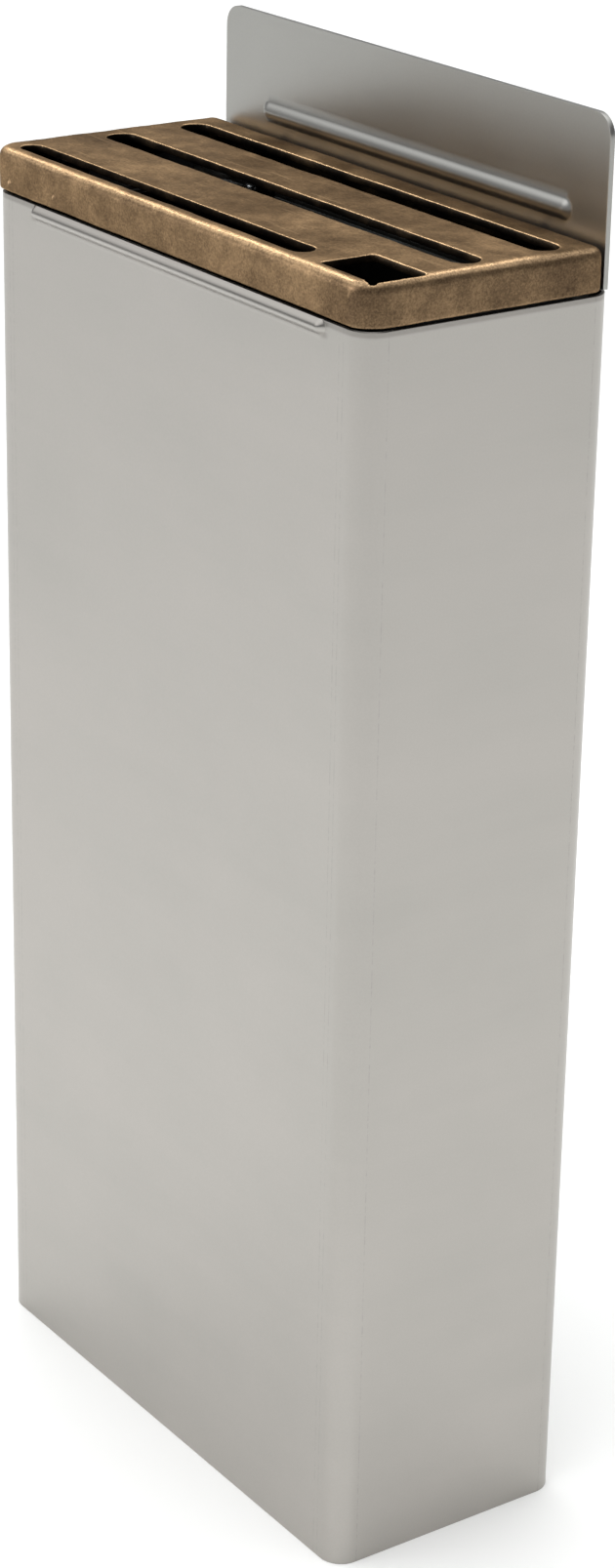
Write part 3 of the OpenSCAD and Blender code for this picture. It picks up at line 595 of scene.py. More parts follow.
# %% Sheet builder and bead shape
def sheet_from_grids(outer, inner, keep=None):
    """A closed sheet between two grids of points, with only the kept cells."""
    rows, columns = outer.shape[:2]
    keep = np.ones((rows - 1, columns - 1), bool) if keep is None else keep
    bm = bmesh.new()
    skins = [[[bm.verts.new(point) for point in row] for row in grid]
             for grid in (outer, inner)]

    def cell(skin, i, j):
        return [skin[i][j], skin[i][j + 1], skin[i + 1][j + 1], skin[i + 1][j]]

    for i in range(rows - 1):
        for j in range(columns - 1):
            if not keep[i, j]:
                continue
            bm.faces.new(cell(skins[0], i, j))
            bm.faces.new(cell(skins[1], i, j)[::-1])
            for a, b, di, dj in (((i, j), (i, j + 1), -1, 0), ((i, j + 1), (i + 1, j + 1), 0, 1),
                                 ((i + 1, j + 1), (i + 1, j), 1, 0), ((i + 1, j), (i, j), 0, -1)):
                ni, nj = i + di, j + dj
                if 0 <= ni < rows - 1 and 0 <= nj < columns - 1 and keep[ni, nj]:
                    continue
                bm.faces.new([skins[0][b[0]][b[1]], skins[0][a[0]][a[1]],
                              skins[1][a[0]][a[1]], skins[1][b[0]][b[1]]])
    bmesh.ops.delete(bm, geom=[v for v in bm.verts if not v.link_faces], context="VERTS")
    bmesh.ops.remove_doubles(bm, verts=bm.verts, dist=0.02 * MM)
    bmesh.ops.recalc_face_normals(bm, faces=bm.faces)
    return bm


def bead_rise(along, up_from_middle, height, half_width):
    """How far a pressed bead stands out: a round crest with soft flanks and round ends."""
    past_end = np.maximum(np.abs(along - BEAD_SHIFT) - (BEAD_HALF - half_width), 0)
    distance = np.hypot(past_end, up_from_middle) / half_width
    return height * np.clip(1 - distance ** 2, 0, None) ** 1.5


def spread(*stops):
    """Numbers from stop to stop; each later stop is (value, number of steps)."""
    values = [stops[0]]
    for value, steps in stops[1:]:
        values += list(np.linspace(values[-1], value, steps + 1)[1:])
    return np.array(values)


# %% [markdown]
# ## The housing
#
# The path runs round the plan of the bent sheet: rear flange, side, front, side, rear
# flange. Real sheet is never dead flat, so the broad faces bulge and dip by a tenth
# or two of a millimetre, which makes reflections wander gently.
#
# Open fault: the solid model has a round hole for the lock in the left side, and this
# sheet has none, so the lock's barrel and spindle pass through it.

# %% Housing sheet
def housing_path(offset):
    """Plan points, outward directions and distances along the bent sheet."""
    x, y, r = SIDE_X, REAR_Y, CORNER_R
    flat_x = x - r
    points, outward = [], []

    def straight(x0, y0, x1, y1, normal, steps):
        for t in steps:
            points.append((x0 + (x1 - x0) * t, y0 + (y1 - y0) * t))
            outward.append(normal)

    def bend(cx, cy, start):
        for step in range(1, 12):
            angle = math.radians(start + 90 * step / 12)
            normal = (math.cos(angle), math.sin(angle))
            points.append((cx + r * normal[0], cy + r * normal[1]))
            outward.append(normal)

    quarter = np.linspace(0, 1, 9)
    bead_left = (BEAD_SHIFT - BEAD_HALF + flat_x) / (2 * flat_x)
    bead_right = (BEAD_SHIFT + BEAD_HALF + flat_x) / (2 * flat_x)
    end = 6 * MM / (2 * flat_x)
    front_steps = spread(0, (bead_left - end / 2, 4), (bead_left + end, 14),
                         (bead_right - end, 26), (bead_right + end / 2, 14), (1, 3))
    straight(-x + REAR_FLANGE, y, -flat_x, y, (0, 1), quarter)
    bend(-flat_x, y - r, 90)
    straight(-x, y - r, -x, -y + r, (-1, 0), np.linspace(0, 1, 17))
    bend(-flat_x, -y + r, 180)
    straight(-flat_x, -y, flat_x, -y, (0, -1), front_steps)
    bend(flat_x, -y + r, 270)
    straight(x, -y + r, x, y - r, (1, 0), np.linspace(0, 1, 17))
    bend(flat_x, y - r, 0)
    straight(flat_x, y, x - REAR_FLANGE, y, (0, 1), quarter)
    points, outward = np.array(points), np.array(outward)
    return points - outward * offset, outward


FRONT_BEAD_HALF_WIDTH = 3.9 * MM
heights = spread(0, (0.6 * MM, 1), (RIM_Z - 14 * MM, 40),
                 (FRONT_BEAD_Z - FRONT_BEAD_HALF_WIDTH, 4), (RIM_Z, 20))


def housing_skin(offset, rise, half_width):
    """One skin of the housing as a grid of points."""
    plan, outward = housing_path(offset)
    x, z = np.meshgrid(plan[:, 0], heights)
    y = np.broadcast_to(plan[:, 1], x.shape)
    normal_x = np.broadcast_to(outward[:, 0], x.shape)
    normal_y = np.broadcast_to(outward[:, 1], x.shape)
    bead = np.where(normal_y < -0.999,
                    bead_rise(x, z - FRONT_BEAD_Z, rise, half_width), 0)
    flatness = np.cos(x / SIDE_X * math.pi / 2) * np.sin(z * 11 + x * 9) * 0.15 * MM
    flatness += np.cos(y / REAR_Y * math.pi / 2) * np.sin(z * 14 + 2) * 0.1 * MM
    flatness *= np.clip(np.sin(z / RIM_Z * math.pi), 0, 1) * (np.abs(normal_y) < 0.001) + (
        np.abs(normal_y) > 0.999) * np.clip(np.sin(z / RIM_Z * math.pi), 0, 1)
    out = bead - np.abs(flatness)
    return np.stack([x + normal_x * out, y + normal_y * out, z], axis=-1)


housing_bm = sheet_from_grids(
    housing_skin(0, FRONT_BEAD_HEIGHT, FRONT_BEAD_HALF_WIDTH),
    housing_skin(SHEET, FRONT_BEAD_HEIGHT - 0.5 * MM, FRONT_BEAD_HALF_WIDTH - 1.1 * MM))
housing_mesh = mesh_from(housing_bm, "housing_sheet")
housing_mesh = applied(housing_mesh, ("BEVEL", {
    "width": 0.25 * MM, "segments": 2, "limit_method": "ANGLE",
    "angle_limit": math.radians(60)}))
finish_piece("housing_sheet", housing_mesh, "body_shell")

# %% [markdown]
# ## The wall plate
#
# The plate is narrow inside the housing and wide above it. Columns of the grid near
# its sides are drawn in towards the round top corners, and cells below the shoulder
# are left out. The wall fixings are cut with round cutters.

# %% Wall plate
PLATE_NARROW_X = 136.5 * MM
SHOULDER_Z = RIM_Z + 0.8 * MM
PLATE_TOP_Z = plate_high.z
PLATE_BEAD_HALF_WIDTH = 5.2 * MM
corner_start = UPSTAND_X - UPSTAND_R
plate_x = np.concatenate([
    -UPSTAND_X + (UPSTAND_X - PLATE_NARROW_X) * np.linspace(0, 1, 9),
    spread(-PLATE_NARROW_X, (BEAD_SHIFT - BEAD_HALF - 3 * MM, 6),
           (BEAD_SHIFT - BEAD_HALF + 8 * MM, 16), (BEAD_SHIFT + BEAD_HALF - 8 * MM, 30),
           (BEAD_SHIFT + BEAD_HALF + 3 * MM, 16), (PLATE_NARROW_X, 4))[1:],
    PLATE_NARROW_X + (UPSTAND_X - PLATE_NARROW_X) * np.linspace(0, 1, 9)[1:]])
plate_z = np.concatenate([
    spread(plate_low.z, (SHOULDER_Z, 24)),
    spread(SHOULDER_Z, (PLATE_BEAD_Z - PLATE_BEAD_HALF_WIDTH, 8),
           (PLATE_BEAD_Z + PLATE_BEAD_HALF_WIDTH, 16), (PLATE_TOP_Z - UPSTAND_R, 8))[1:],
    PLATE_TOP_Z - UPSTAND_R * (1 - np.sin(np.linspace(0, math.pi / 2, 13)[1:]))])


def plate_skin(y0, rise, half_width, direction):
    """One skin of the plate; the side columns follow the round top corners."""
    x, z = np.meshgrid(plate_x, plate_z)
    rise_above_corner = np.clip(z - (PLATE_TOP_Z - UPSTAND_R), 0, UPSTAND_R)
    half = corner_start + np.sqrt(UPSTAND_R ** 2 - rise_above_corner ** 2)
    scale = (half - PLATE_NARROW_X * half / UPSTAND_X) / (UPSTAND_X - PLATE_NARROW_X)
    outer = np.abs(x) > PLATE_NARROW_X
    inner_edge = PLATE_NARROW_X * half / UPSTAND_X
    drawn = inner_edge + (np.abs(x) - PLATE_NARROW_X) * scale
    x = np.where(outer, np.sign(x) * drawn, x * half / UPSTAND_X)
    bead = bead_rise(x, z - PLATE_BEAD_Z, rise, half_width)
    return np.stack([x, y0 + direction * bead, z], axis=-1)


x_cells, z_cells = np.meshgrid((plate_x[:-1] + plate_x[1:]) / 2,
                               (plate_z[:-1] + plate_z[1:]) / 2)
plate_keep = (np.abs(x_cells) < PLATE_NARROW_X) | (z_cells > SHOULDER_Z)
plate_bm = sheet_from_grids(
    plate_skin(PLATE_FRONT_Y, PLATE_BEAD_HEIGHT, PLATE_BEAD_HALF_WIDTH, -1),
    plate_skin(PLATE_REAR_Y, PLATE_BEAD_HEIGHT * 0.8, PLATE_BEAD_HALF_WIDTH - 1.6 * MM, -1),
    plate_keep)
plate_mesh = mesh_from(plate_bm, "wall_plate")

FIXING_X, FIXING_ROWS, FIXING_R = 100 * MM, (88.6 * MM, 508.6 * MM), 4.5 * MM
cutter_bm = bmesh.new()
for x in (-FIXING_X, FIXING_X):
    for z in FIXING_ROWS:
        bmesh.ops.create_cone(
            cutter_bm, cap_ends=True, segments=48, radius1=FIXING_R, radius2=FIXING_R,
            depth=20 * MM, matrix=Matrix.Translation((x, PLATE_FRONT_Y, z))
            @ Matrix.Rotation(math.pi / 2, 4, "X"))
cutter_mesh = mesh_from(cutter_bm, "fixing_cutters")
cutters = bpy.data.objects.new("fixing_cutters", cutter_mesh)
bpy.context.collection.objects.link(cutters)
plate_mesh = applied(
    plate_mesh,
    ("BOOLEAN", {"operation": "DIFFERENCE", "object": cutters, "solver": "EXACT"}),
    ("BEVEL", {"width": 0.35 * MM, "segments": 3, "limit_method": "ANGLE",
               "angle_limit": math.radians(50)}))
bpy.data.objects.remove(cutters)
finish_piece("wall_plate", plate_mesh, "back_plate", plate_steel)

# %% [markdown]
# ## The cast lid
#
# A casting has no sharp edge anywhere: sand can't hold one. The lid's solid shape is
# rebuilt on a fine grid of cubes, which melts its parts into one skin, and smoothed,
# which rounds every edge. Then the skin is moved by a few hundredths of a millimetre,
# as hand-rammed sand would leave it. Small nodules stand where sand had broken away.

# %% Cast lid
VOXEL = 0.8 * MM
lid_mesh = applied(
    frame["nodes"]["lid_casting"].data.copy(),
    ("WELD", {"merge_threshold": 0.002 * MM}),
    ("REMESH", {"mode": "VOXEL", "voxel_size": VOXEL}),
    ("SMOOTH", {"factor": 0.5, "iterations": 5}))
count = len(lid_mesh.vertices)
points = np.empty(count * 3)
lid_mesh.vertices.foreach_get("co", points)
points = points.reshape(-1, 3)
normals = np.empty(count * 3)
lid_mesh.vertices.foreach_get("normal", normals)
normals = normals.reshape(-1, 3)

rng = np.random.default_rng(7)
swell = np.zeros(count)
for size, amount in ((26 * MM, 0.05 * MM), (11 * MM, 0.025 * MM), (5 * MM, 0.02 * MM)):
    for _ in range(3):
        direction = rng.normal(size=3)
        direction /= np.linalg.norm(direction)
        swell += amount * np.sin(points @ direction * 2 * math.pi / size + rng.uniform(0, 6))

NODULES = [(-133.8, -67.0, 602.8, 1.6, 1.0), (-93.9, -67.0, 604.0, 1.3, 0.9),
           (-11.1, -66.5, 617.2, 1.0, 0.5), (139.6, -66.0, 611.4, 1.3, 0.8),
           (142.4, -65.5, 603.7, 1.0, 0.6), (36.9, -14.4, 618.5, 0.8, 0.4),
           (58.5, -16.0, 618.5, 0.8, 0.35), (-48.0, -30.0, 618.5, 0.7, 0.3)]
for _ in range(26):
    NODULES.append((rng.uniform(-148, 148), rng.uniform(-64, 56), 618.5,
                    rng.uniform(0.5, 0.8), rng.uniform(0.12, 0.28)))
for _ in range(14):
    NODULES.append((rng.uniform(-140, 140), -67.0, rng.uniform(601, 612),
                    rng.uniform(0.5, 0.9), rng.uniform(0.12, 0.3)))
for x, y, z, radius, rise in NODULES:
    distance = np.linalg.norm(points - np.array((x, y, z)) * MM, axis=1)
    swell += rise * MM * np.exp(-(distance / (radius * MM)) ** 2)
points += normals * swell[:, None]
points[:, 0] = np.clip(points[:, 0], lid_low.x, lid_high.x)
points[:, 2] = np.maximum(points[:, 2], lid_low.z)
lid_mesh.vertices.foreach_set("co", points.ravel())
lid_mesh.update()
LID_TRIANGLES = 150000
lid_mesh = applied(lid_mesh, ("DECIMATE", {
    "ratio": min(1.0, LID_TRIANGLES / (2 * len(lid_mesh.polygons)))}))
cast_lid = finish_piece("cast_lid", lid_mesh, "lid_casting", smooth_angle=180)

# %% [markdown]
# ## Draught strips
#
# These two strips are not in the solid model and are not known from the real object.
# They hide the narrow gap between the lid's side skirts and the housing, through which
# daylight would show in the slots. Their lower edge is rounded, as extruded rubber is.

# %% Draught strips
STRIP_THICK, STRIP_TOP, STRIP_BOTTOM = 1.0 * MM, 604 * MM, 594.5 * MM
SKIRT = 3.5 * MM
strip_bm = bmesh.new()
for side in (-1, 1):
    face_x = side * (lid_high.x - SKIRT - 0.02 * MM)
    outline = [(0, STRIP_TOP), (0, STRIP_BOTTOM)]
    outline += [(STRIP_THICK / 2 * (1 - math.cos(a)),
                 STRIP_BOTTOM - STRIP_THICK / 2 * math.sin(a))
                for a in np.linspace(0, math.pi, 9)[1:-1]]
    outline += [(STRIP_THICK, STRIP_BOTTOM), (STRIP_THICK, STRIP_TOP)]
    ends = [[strip_bm.verts.new((face_x - side * inset, y, z)) for inset, z in outline]
            for y in np.linspace(-50 * MM, 44 * MM, 24)]
    for one, two in zip(ends, ends[1:]):
        for k in range(len(outline)):
            m = (k + 1) % len(outline)
            strip_bm.faces.new((one[k], one[m], two[m], two[k]))
    strip_bm.faces.new(ends[0][::-1])
    strip_bm.faces.new(ends[-1])
bmesh.ops.recalc_face_normals(strip_bm, faces=strip_bm.faces)
strip_mesh = mesh_from(strip_bm, "draught_strips")
strip_mesh.materials.append(rubber)
strips = bpy.data.objects.new("draught_strips", strip_mesh)
bpy.context.collection.objects.link(strips)
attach(strips, "lid")
print("draught strips with", len(strip_mesh.polygons), "faces")

# %% [markdown]
# ## Turned parts
#
# Rivets, screws, pads and pins are bodies of revolution, so one function spins a
# profile round an axis. A ring of the profile may have flats: six make a nut or the
# socket of a screw, three make the lock's key end.

# %% Spinning a profile
SIDES = 48


def ring_radius(radius, flats, angle):
    """The radius at an angle: constant for a round ring, less at flats."""
    if not flats:
        return radius
    half = math.pi / flats
    return radius * math.cos(half) / math.cos(angle % (2 * half) - half)


def turned(profile, places, axis):
    """Spins a profile of (radius, distance along axis, flats) rings at each place."""
    bm = bmesh.new()
    turn = Vector((0, 0, 1)).rotation_difference(Vector(axis)).to_matrix().to_4x4()
    for origin in places:
        matrix = Matrix.Translation(Vector(origin)) @ turn
        rings = []
        for radius, along, flats in profile:
            if radius == 0:
                rings.append([bm.verts.new(matrix @ Vector((0, 0, along * MM)))])
                continue
            ring = []
            for k in range(SIDES):
                angle = 2 * math.pi * k / SIDES
                r = ring_radius(radius, flats, angle) * MM
                ring.append(bm.verts.new(matrix @ Vector(
                    (r * math.cos(angle), r * math.sin(angle), along * MM))))
            rings.append(ring)
        for one, two in zip(rings, rings[1:]):
            for k in range(SIDES):
                m = (k + 1) % SIDES
                corners = [one[k % len(one)], one[m % len(one)],
                           two[m % len(two)], two[k % len(two)]]
                unique = list(dict.fromkeys(corners))
                if len(unique) > 2:
                    bm.faces.new(unique)
    return bm


def dome(radius, start, rise, steps=6):
    """Rings of a dome that narrows from a radius to its top."""
    rings = []
    for step in range(steps + 1):
        angle = math.pi / 2 * step / steps
        rings.append((radius * math.cos(angle) if step < steps else 0,
                      start + rise * math.sin(angle), 0))
    return rings


def middle_of(node):
    """The middle of a node's box, in metres."""
    low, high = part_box(node)
    return (low + high) / 2


# %% [markdown]
# ## Rivets
#
# The housing's rivets have domed heads inside and a low closed tail on the wall side.
# The bracket rivets are the same kind, smaller. Their places repeat those of the
# solid model, in millimetres.

# %% Rivets
rivet_low, rivet_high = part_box("shell_rivets")
RIVET_X = (rivet_high.x / MM) - 4
RIVET_ROWS = [RIM_Z / MM * (0.1 + 0.27 * i) for i in range(4)]
front_of_head = rivet_low.y / MM
length = (rivet_high.y - rivet_low.y) / MM
rivet_profile = [(0, length, 0), (2.6, length, 0), (3.0, length - 0.35, 0),
                 (3.0, length - 0.75, 0), (2.0, length - 0.8, 0), (2.0, 1.55, 0),
                 (4.0, 1.5, 0), (4.0, 1.2, 0), (3.6, 0.6, 0), (2.6, 0.2, 0), (1.4, 0.02, 0),
                 (0, 0, 0)]
rivet_places = [(s * RIVET_X * MM, front_of_head * MM, z * MM)
                for s in (-1, 1) for z in RIVET_ROWS]
finish_piece("domed_shell_rivets", turned(rivet_profile, rivet_places, (0, 1, 0)),
             "shell_rivets")

small_low, small_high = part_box("hinge_rivets")
length = (small_high.z - small_low.z) / MM
small_y = (small_low.y + small_high.y) / 2
outer_x = small_high.x - 2.72 * MM
small_profile = [(0, length, 0), (1.6, length - 0.1, 0), (2.4, length - 0.45, 0),
                 (2.72, length - 0.95, 0), (1.6, length - 1.0, 0), (1.6, 1.0, 0),
                 (2.4, 0.95, 0), (2.3, 0.3, 0), (1.9, 0, 0), (0, 0, 0)]
small_places = [(s * (outer_x - shift), small_y, small_low.z)
                for s in (-1, 1) for shift in (0, 7.5 * MM)]
finish_piece("domed_bracket_rivets", turned(small_profile, small_places, (0, 0, 1)),
             "hinge_rivets")

# %% [markdown]
# ## Rubber parts
#
# Moulded rubber always has a rounded rim, and the pads have a shallow dish on top.

# %% Pads, buffers and spacers
pad_low, pad_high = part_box("base_pads")
PAD_R = 11
tall = (pad_high.z - pad_low.z) / MM
pad_profile = [(0, 0, 0), (PAD_R - 0.8, 0, 0), (PAD_R, 0.8, 0), (PAD_R - 0.5, tall / 2, 0),
               (PAD_R, tall - 1.2, 0), (PAD_R - 0.4, tall - 0.35, 0), (PAD_R - 1.3, tall, 0),
               (PAD_R - 3, tall, 0), (PAD_R - 3.8, tall - 0.6, 0), (0, tall - 0.6, 0)]
pad_places = [(sx * (pad_high.x - PAD_R * MM), sy * (pad_high.y - PAD_R * MM), pad_low.z)
              for sx in (-1, 1) for sy in (-1, 1)]
finish_piece("dished_base_pads", turned(pad_profile, pad_places, (0, 0, 1)), "base_pads")

buffer_low, buffer_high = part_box("lid_buffers")
BUFFER_R = 3.5
tall = (buffer_high.z - buffer_low.z) / MM
rim_top = (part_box("liner_rim")[1].z - buffer_low.z) / MM + 0.05
buffer_profile = [(0, 0, 0), (1.7, 0, 0), (2.0, 0.3, 0), (2.0, rim_top, 0),
                  (BUFFER_R - 0.3, rim_top, 0), (BUFFER_R, rim_top + 0.5, 0),
                  (BUFFER_R - 0.25, (rim_top + tall) / 2, 0), (BUFFER_R, tall - 1.0, 0)]
buffer_profile += dome(BUFFER_R, tall - 1.0, 1.0)[1:]
buffer_places = [(s * (buffer_high.x - BUFFER_R * MM), middle_of("lid_buffers").y,
                  buffer_low.z) for s in (-1, 1)]
finish_piece("domed_lid_buffers", turned(buffer_profile, buffer_places, (0, 0, 1)),
             "lid_buffers")

spacer_low, spacer_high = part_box("wall_spacers")
SPACER_R = 9
thick = (spacer_high.y - spacer_low.y) / MM
spacer_profile = [(4.5, 0.2, 0), (4.7, 0, 0), (SPACER_R - 0.4, 0, 0), (SPACER_R, 0.4, 0),
                  (SPACER_R, thick - 0.4, 0), (SPACER_R - 0.4, thick, 0), (4.7, thick, 0),
                  (4.5, thick - 0.2, 0), (4.5, 0.2, 0)]
spacer_places = [(s * (spacer_high.x - SPACER_R * MM), spacer_low.y, z)
                 for s in (-1, 1)
                 for z in (spacer_low.z + SPACER_R * MM, spacer_high.z - SPACER_R * MM)]
finish_piece("moulded_wall_spacers", turned(spacer_profile, spacer_places, (0, 1, 0)),
             "wall_spacers")

# %% [markdown]
# ## The lock
#
# The barrel's face is turned with a chamfered rim and a fine ring round its round key
# recess, with the three-sided key end in it. The housing sheet, which lacks its hole,
# closes the recess a millimetre below the barrel's face.

# %% Lock
barrel_low, barrel_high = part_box("lock_barrel")
length = (barrel_high.x - barrel_low.x) / MM
lock_centre = middle_of("lock_barrel")
lock_place = [(barrel_low.x, lock_centre.y, lock_centre.z)]
KEY_RECESS_R, SPINDLE_HOLE_R = 6.5, 3.05
recess = (-SIDE_X + SHEET + MM - barrel_low.x) / MM
barrel_profile = [(SPINDLE_HOLE_R, recess, 0), (KEY_RECESS_R, recess, 0),
                  (KEY_RECESS_R, 0.4, 0), (KEY_RECESS_R + 0.4, 0, 0), (7.6, 0, 0),
                  (7.8, 0.15, 0), (8.1, 0.15, 0), (8.3, 0, 0), (9.5, 0, 0), (10, 0.35, 0),
                  (10, 0.95, 0), (7.5, 0.95, 0), (7.5, length - 0.4, 0), (7.1, length, 0),
                  (SPINDLE_HOLE_R, length, 0), (SPINDLE_HOLE_R, recess, 0)]
finish_piece("turned_lock_barrel", turned(barrel_profile, lock_place, (1, 0, 0)),
             "lock_barrel")

nut_low, nut_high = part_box("lock_nut")
thick = (nut_high.x - nut_low.x) / MM
nut_profile = [(7.6, 0.3, 0), (7.9, 0, 0), (10.4, 0, 0), (11.45, 0.45, 6),
               (11.45, thick - 0.45, 6), (10.4, thick, 0), (7.9, thick, 0),
               (7.6, thick - 0.3, 0), (7.6, 0.3, 0)]
finish_piece("chamfered_lock_nut", turned(
    nut_profile, [(nut_low.x, lock_centre.y, lock_centre.z)], (1, 0, 0)), "lock_nut")

spindle_low, spindle_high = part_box("lock_spindle")
length = (spindle_high.x - spindle_low.x) / MM
key_end = (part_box("lock_barrel")[0].x / MM - spindle_low.x / MM) + recess - 0.1
spindle_profile = [(0, 0, 0), (3.2, 0, 3), (4.3, 0.35, 3), (4.45, 0.6, 3),
                   (4.45, key_end, 3), (3.0, key_end, 0), (3.0, length - 0.3, 0),
                   (2.7, length, 0), (0, length, 0)]
finish_piece("three_sided_spindle", turned(
    spindle_profile, [(spindle_low.x, lock_centre.y, lock_centre.z)], (1, 0, 0)),
    "lock_spindle")

# %% [markdown]
# ## Screws, pins and the carrying bar
#
# Each screw has a low round head with a rounded rim and a six-sided socket. The hinge
# pins have a head at one end and a groove for the clip at the other.

# %% Screws, pins and bar
def socket_head(head_r, head_t, shank_r, shank_end, socket_r):
    """A low head from its socket round to the shank; distance runs from the head's face."""
    depth = head_t * 0.6
    return [(0, depth, 0), (socket_r, depth, 6), (socket_r, 0.1, 6), (socket_r + 0.2, 0, 0),
            (head_r - 0.5, 0, 0), (head_r - 0.15, 0.15, 0), (head_r, 0.5, 0),
            (head_r, head_t, 0), (shank_r, head_t, 0), (shank_r, shank_end - 0.4, 0),
            (shank_r - 0.4, shank_end, 0), (0, shank_end, 0)]


cam_low, cam_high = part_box("cam_screw")
length = (cam_high.x - cam_low.x) / MM
finish_piece("socket_cam_screw", turned(
    socket_head(3.5, 1.5, 1.5, length, 1.6), [(cam_high.x, lock_centre.y, lock_centre.z)],
    (-1, 0, 0)), "cam_screw")

bar_low, bar_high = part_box("bar_screws")
bar_middle = middle_of("bar_screws")
shank = 9.05 + 1.8
screw_bm = turned(socket_head(4.0, 1.8, 2.0, shank, 1.8),
                  [(bar_low.x, bar_middle.y, bar_middle.z)], (1, 0, 0))
right_screw = turned(socket_head(4.0, 1.8, 2.0, shank, 1.8),
                     [(bar_high.x, bar_middle.y, bar_middle.z)], (-1, 0, 0))
spare = mesh_from(right_screw, "spare")
screw_bm.from_mesh(spare)
finish_piece("socket_bar_screws", screw_bm, "bar_screws", zinc_soot_and_shade)

hook_low, hook_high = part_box("hook_screws")
length = (hook_high.z - hook_low.z) / MM
hook_places = [(x, middle_of("hook_screws").y, hook_low.z)
               for x in (hook_low.x + 3.2 * MM, hook_high.x - 3.2 * MM)]
finish_piece("socket_hook_screws", turned(
    socket_head(3.2, 2.0, 2.0, length, 1.6), hook_places, (0, 0, 1)), "hook_screws",
    zinc_soot_and_shade)

carry_low, carry_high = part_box("carry_bar")
length = (carry_high.x - carry_low.x) / MM
carry_profile = [(0, 10, 0), (2.05, 10, 0), (2.05, 0.3, 0), (2.3, 0, 0), (3.6, 0, 0),
                 (4.0, 0.4, 0), (4.0, length - 0.4, 0), (3.6, length, 0), (2.3, length, 0),
                 (2.05, length - 0.3, 0), (2.05, length - 10, 0), (0, length - 10, 0)]
carry_middle = middle_of("carry_bar")
finish_piece("turned_carry_bar", turned(
    carry_profile, [(carry_low.x, carry_middle.y, carry_middle.z)], (1, 0, 0)), "carry_bar",
    zinc_soot_and_shade)

for side, node in ((1, "hinge_pin_right"), (-1, "hinge_pin_left")):
    pin_low, pin_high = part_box(node)
    length = (pin_high.x - pin_low.x) / MM
    pin_middle = middle_of(node)
    start = pin_low.x if side > 0 else pin_high.x
    head = length - 1.25
    pin_profile = [(0, 0, 0), (1.2, 0, 0), (1.6, 0.4, 0), (1.6, 1.3, 0), (1.1, 1.3, 0),
                   (1.1, 2.2, 0), (1.6, 2.2, 0), (1.6, head, 0), (2.5, head, 0),
                   (2.5, head + 0.5, 0), (2.2, head + 1.0, 0), (1.2, length, 0),
                   (0, length, 0)]
    finish_piece("headed_" + node, turned(
        pin_profile, [(start, pin_middle.y, pin_middle.z)], (side, 0, 0)), node,
        zinc_soot_and_shade)

# %% [markdown]
# ## Folded and cut parts
#
# The liner, brackets, cam, hook, clips and base tray already have the right shape.
# Stamped sheet has a slightly rounded edge, though, so each is copied, its flat faces
# are merged, and its sharp edges get a small round.

# %% Rounded copies
def rounded_copy(name, node, edge_mm, smooth_angle=40):
    """A copy of a node with its sharp edges rounded by a small amount."""
    bm = bmesh.new()
    bm.from_mesh(frame["nodes"][node].data)
    bmesh.ops.remove_doubles(bm, verts=bm.verts, dist=0.002 * MM)
    bmesh.ops.dissolve_limit(bm, angle_limit=math.radians(0.5), verts=bm.verts,
                             edges=bm.edges, use_dissolve_boundaries=False)
    mesh = applied(mesh_from(bm, name + "_merged"), ("BEVEL", {
        "width": edge_mm * MM, "segments": 2, "limit_method": "ANGLE",
        "angle_limit": math.radians(50)}))
    # Parts under the slots get the near-black zinc: partly soot, partly painted shade.
    dark = node in ("lock_hook", "pin_clips", "hinge_bracket_left", "hinge_bracket_right")
    return finish_piece(name, mesh, node, zinc_soot_and_shade if dark else None, smooth_angle)


for name, node, edge_mm in (
        ("folded_base_tray", "base_tray", 0.2), ("folded_liner", "liner_shell", 0.12),
        ("welded_liner_rim", "liner_rim", 0.12), ("pressed_liner_pan", "liner_pan", 0.12),
        ("bracket_left", "hinge_bracket_left", 0.2),
        ("bracket_right", "hinge_bracket_right", 0.2), ("stamped_cam", "lock_cam", 0.25),
        ("bent_hook", "lock_hook", 0.25), ("spring_clips", "pin_clips", 0.08)):
    rounded_copy(name, node, edge_mm)

# %% [markdown]
# ## Floor and light
#
# The floor is a plain pale sweep. The sky is a soft tent of light: bright overhead,
# dim near the horizon so that the lid's top isn't washed out, and dim on the right so
# that the lid's right side falls into shade. Two soft boxes behind and beside the lid
# draw the bright lines along its top edges, and one in front lifts the lid's front.
# The boxes are flagged off everything but the lid, so that floor and steel stay even.
# A fourth box lights only the floor, because the steel mirrors the floor near its foot
# and the bin's own shadow would darken it there.
# Where the sky itself is in view, it shows as the plain white backdrop of a studio.

# %% Floor
floor_material, tree, shader, where = new_material("pale_matt_floor", "#F0F0EE")
mottle = add(tree, "ShaderNodeTexNoise", {"Vector": where, "Scale": 3.0, "Detail": 4.0})
pale = add(tree, "ShaderNodeMix", {
    0: mottle.outputs["Fac"], 6: linear("#F4F4F2"), 7: linear("#F8F8F7")}, data_type="RGBA")
tree.links.new(pale.outputs[2], shader.inputs["Base Color"])
shader.inputs["Roughness"].default_value = 0.9
shader.inputs["Specular IOR Level"].default_value = 0.2
floor_bm = bmesh.new()
bmesh.ops.create_circle(floor_bm, cap_ends=True, segments=96, radius=14)
floor_mesh = mesh_from(floor_bm, "floor")
floor_mesh.materials.append(floor_material)
floor = bpy.data.objects.new("floor", floor_mesh)
bpy.context.collection.objects.link(floor)

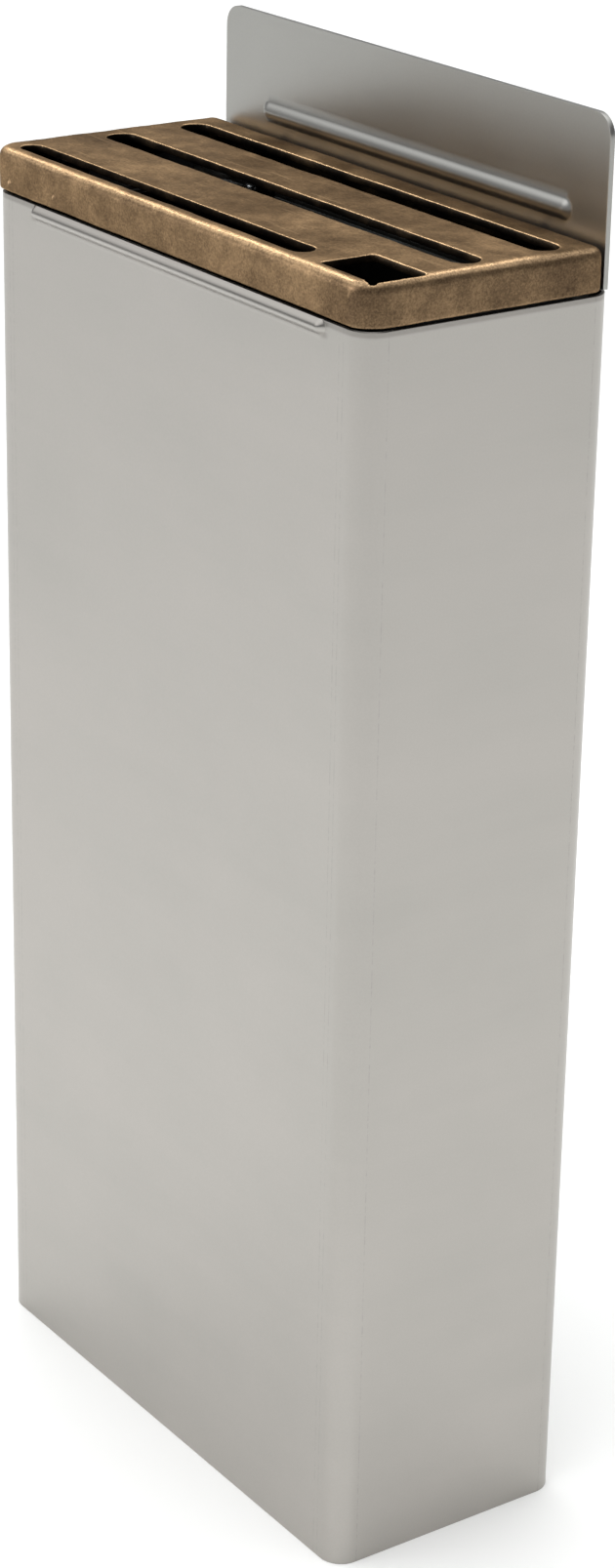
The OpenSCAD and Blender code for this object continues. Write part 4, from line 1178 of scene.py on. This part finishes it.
# %% Sky
SKY_LOW, SKY_HIGH, SKY_RIGHT = 0.35, 2.0, 0.5
world = bpy.data.worlds.new("soft_tent")
bpy.context.scene.world = world
world.use_nodes = True
tree = world.node_tree
tree.nodes.clear()
direction = add(tree, "ShaderNodeSeparateXYZ", {
    "Vector": add(tree, "ShaderNodeTexCoord").outputs["Generated"]})
dim_behind = add(tree, "ShaderNodeMapRange", {
    "Value": direction.outputs["Y"], "From Min": 0.0, "From Max": 0.7,
    "To Min": 0.0, "To Max": 0.22},
    interpolation_type="SMOOTHSTEP").outputs["Result"]
height = add(tree, "ShaderNodeMath", {0: direction.outputs["Z"], 1: dim_behind},
             operation="SUBTRACT")
overhead = add(tree, "ShaderNodeMapRange", {
    "Value": height.outputs[0], "From Min": 0.36, "From Max": 0.56,
    "To Min": SKY_LOW, "To Max": SKY_HIGH},
    interpolation_type="SMOOTHSTEP").outputs["Result"]
to_the_right = add(tree, "ShaderNodeMapRange", {
    "Value": direction.outputs["X"], "From Min": -0.1, "From Max": 0.65,
    "To Min": 1.0, "To Max": SKY_RIGHT},
    interpolation_type="SMOOTHSTEP").outputs["Result"]
brightness = add(tree, "ShaderNodeMath", {0: overhead, 1: to_the_right},
                 operation="MULTIPLY")
seen = add(tree, "ShaderNodeLightPath").outputs["Is Camera Ray"]
with_backdrop = add(tree, "ShaderNodeMix", {0: seen, 2: brightness.outputs[0], 3: 1.0})
backdrop = add(tree, "ShaderNodeBackground", {
    "Color": linear("#FDFEFF"), "Strength": with_backdrop.outputs[0]})
add(tree, "ShaderNodeOutputWorld", {"Surface": backdrop.outputs["Background"]})

# %% Soft boxes
lit_by_boxes = bpy.data.collections.new("lit_by_soft_boxes")
lit_by_boxes.objects.link(cast_lid)
lit_floor = bpy.data.collections.new("lit_floor")
lit_floor.objects.link(floor)


def soft_box(name, azimuth, elevation, distance, width, height, watts, lights_up):
    """A soft area light that faces the lid and lights only what is in a collection."""
    light = bpy.data.lights.new(name, "AREA")
    light.shape, light.size, light.size_y, light.energy = "RECTANGLE", width, height, watts
    lamp = bpy.data.objects.new(name, light)
    bpy.context.collection.objects.link(lamp)
    a, e = math.radians(azimuth), math.radians(elevation)
    away = Vector((math.sin(a) * math.cos(e), -math.cos(a) * math.cos(e), math.sin(e)))
    lamp.location = Vector((0, 0, lid_high.z)) + away * distance
    lamp.rotation_mode = "QUATERNION"
    lamp.rotation_quaternion = away.to_track_quat("Z", "Y")
    lamp.visible_camera = False
    lamp.light_linking.receiver_collection = lights_up
    return lamp


for box in (("front_left_box", -30, 14, 3.0, 1.2, 0.8, 46, lit_by_boxes),
            ("left_box", -92, 40, 3.0, 0.9, 0.6, 22, lit_by_boxes),
            ("rear_box", -146, 52, 3.0, 0.9, 0.6, 26, lit_by_boxes),
            ("floor_box", 0, 89, 0.5, 1.7, 1.7, 5, lit_floor)):
    soft_box(*box)

bpy.context.scene.view_settings.view_transform = "Standard"
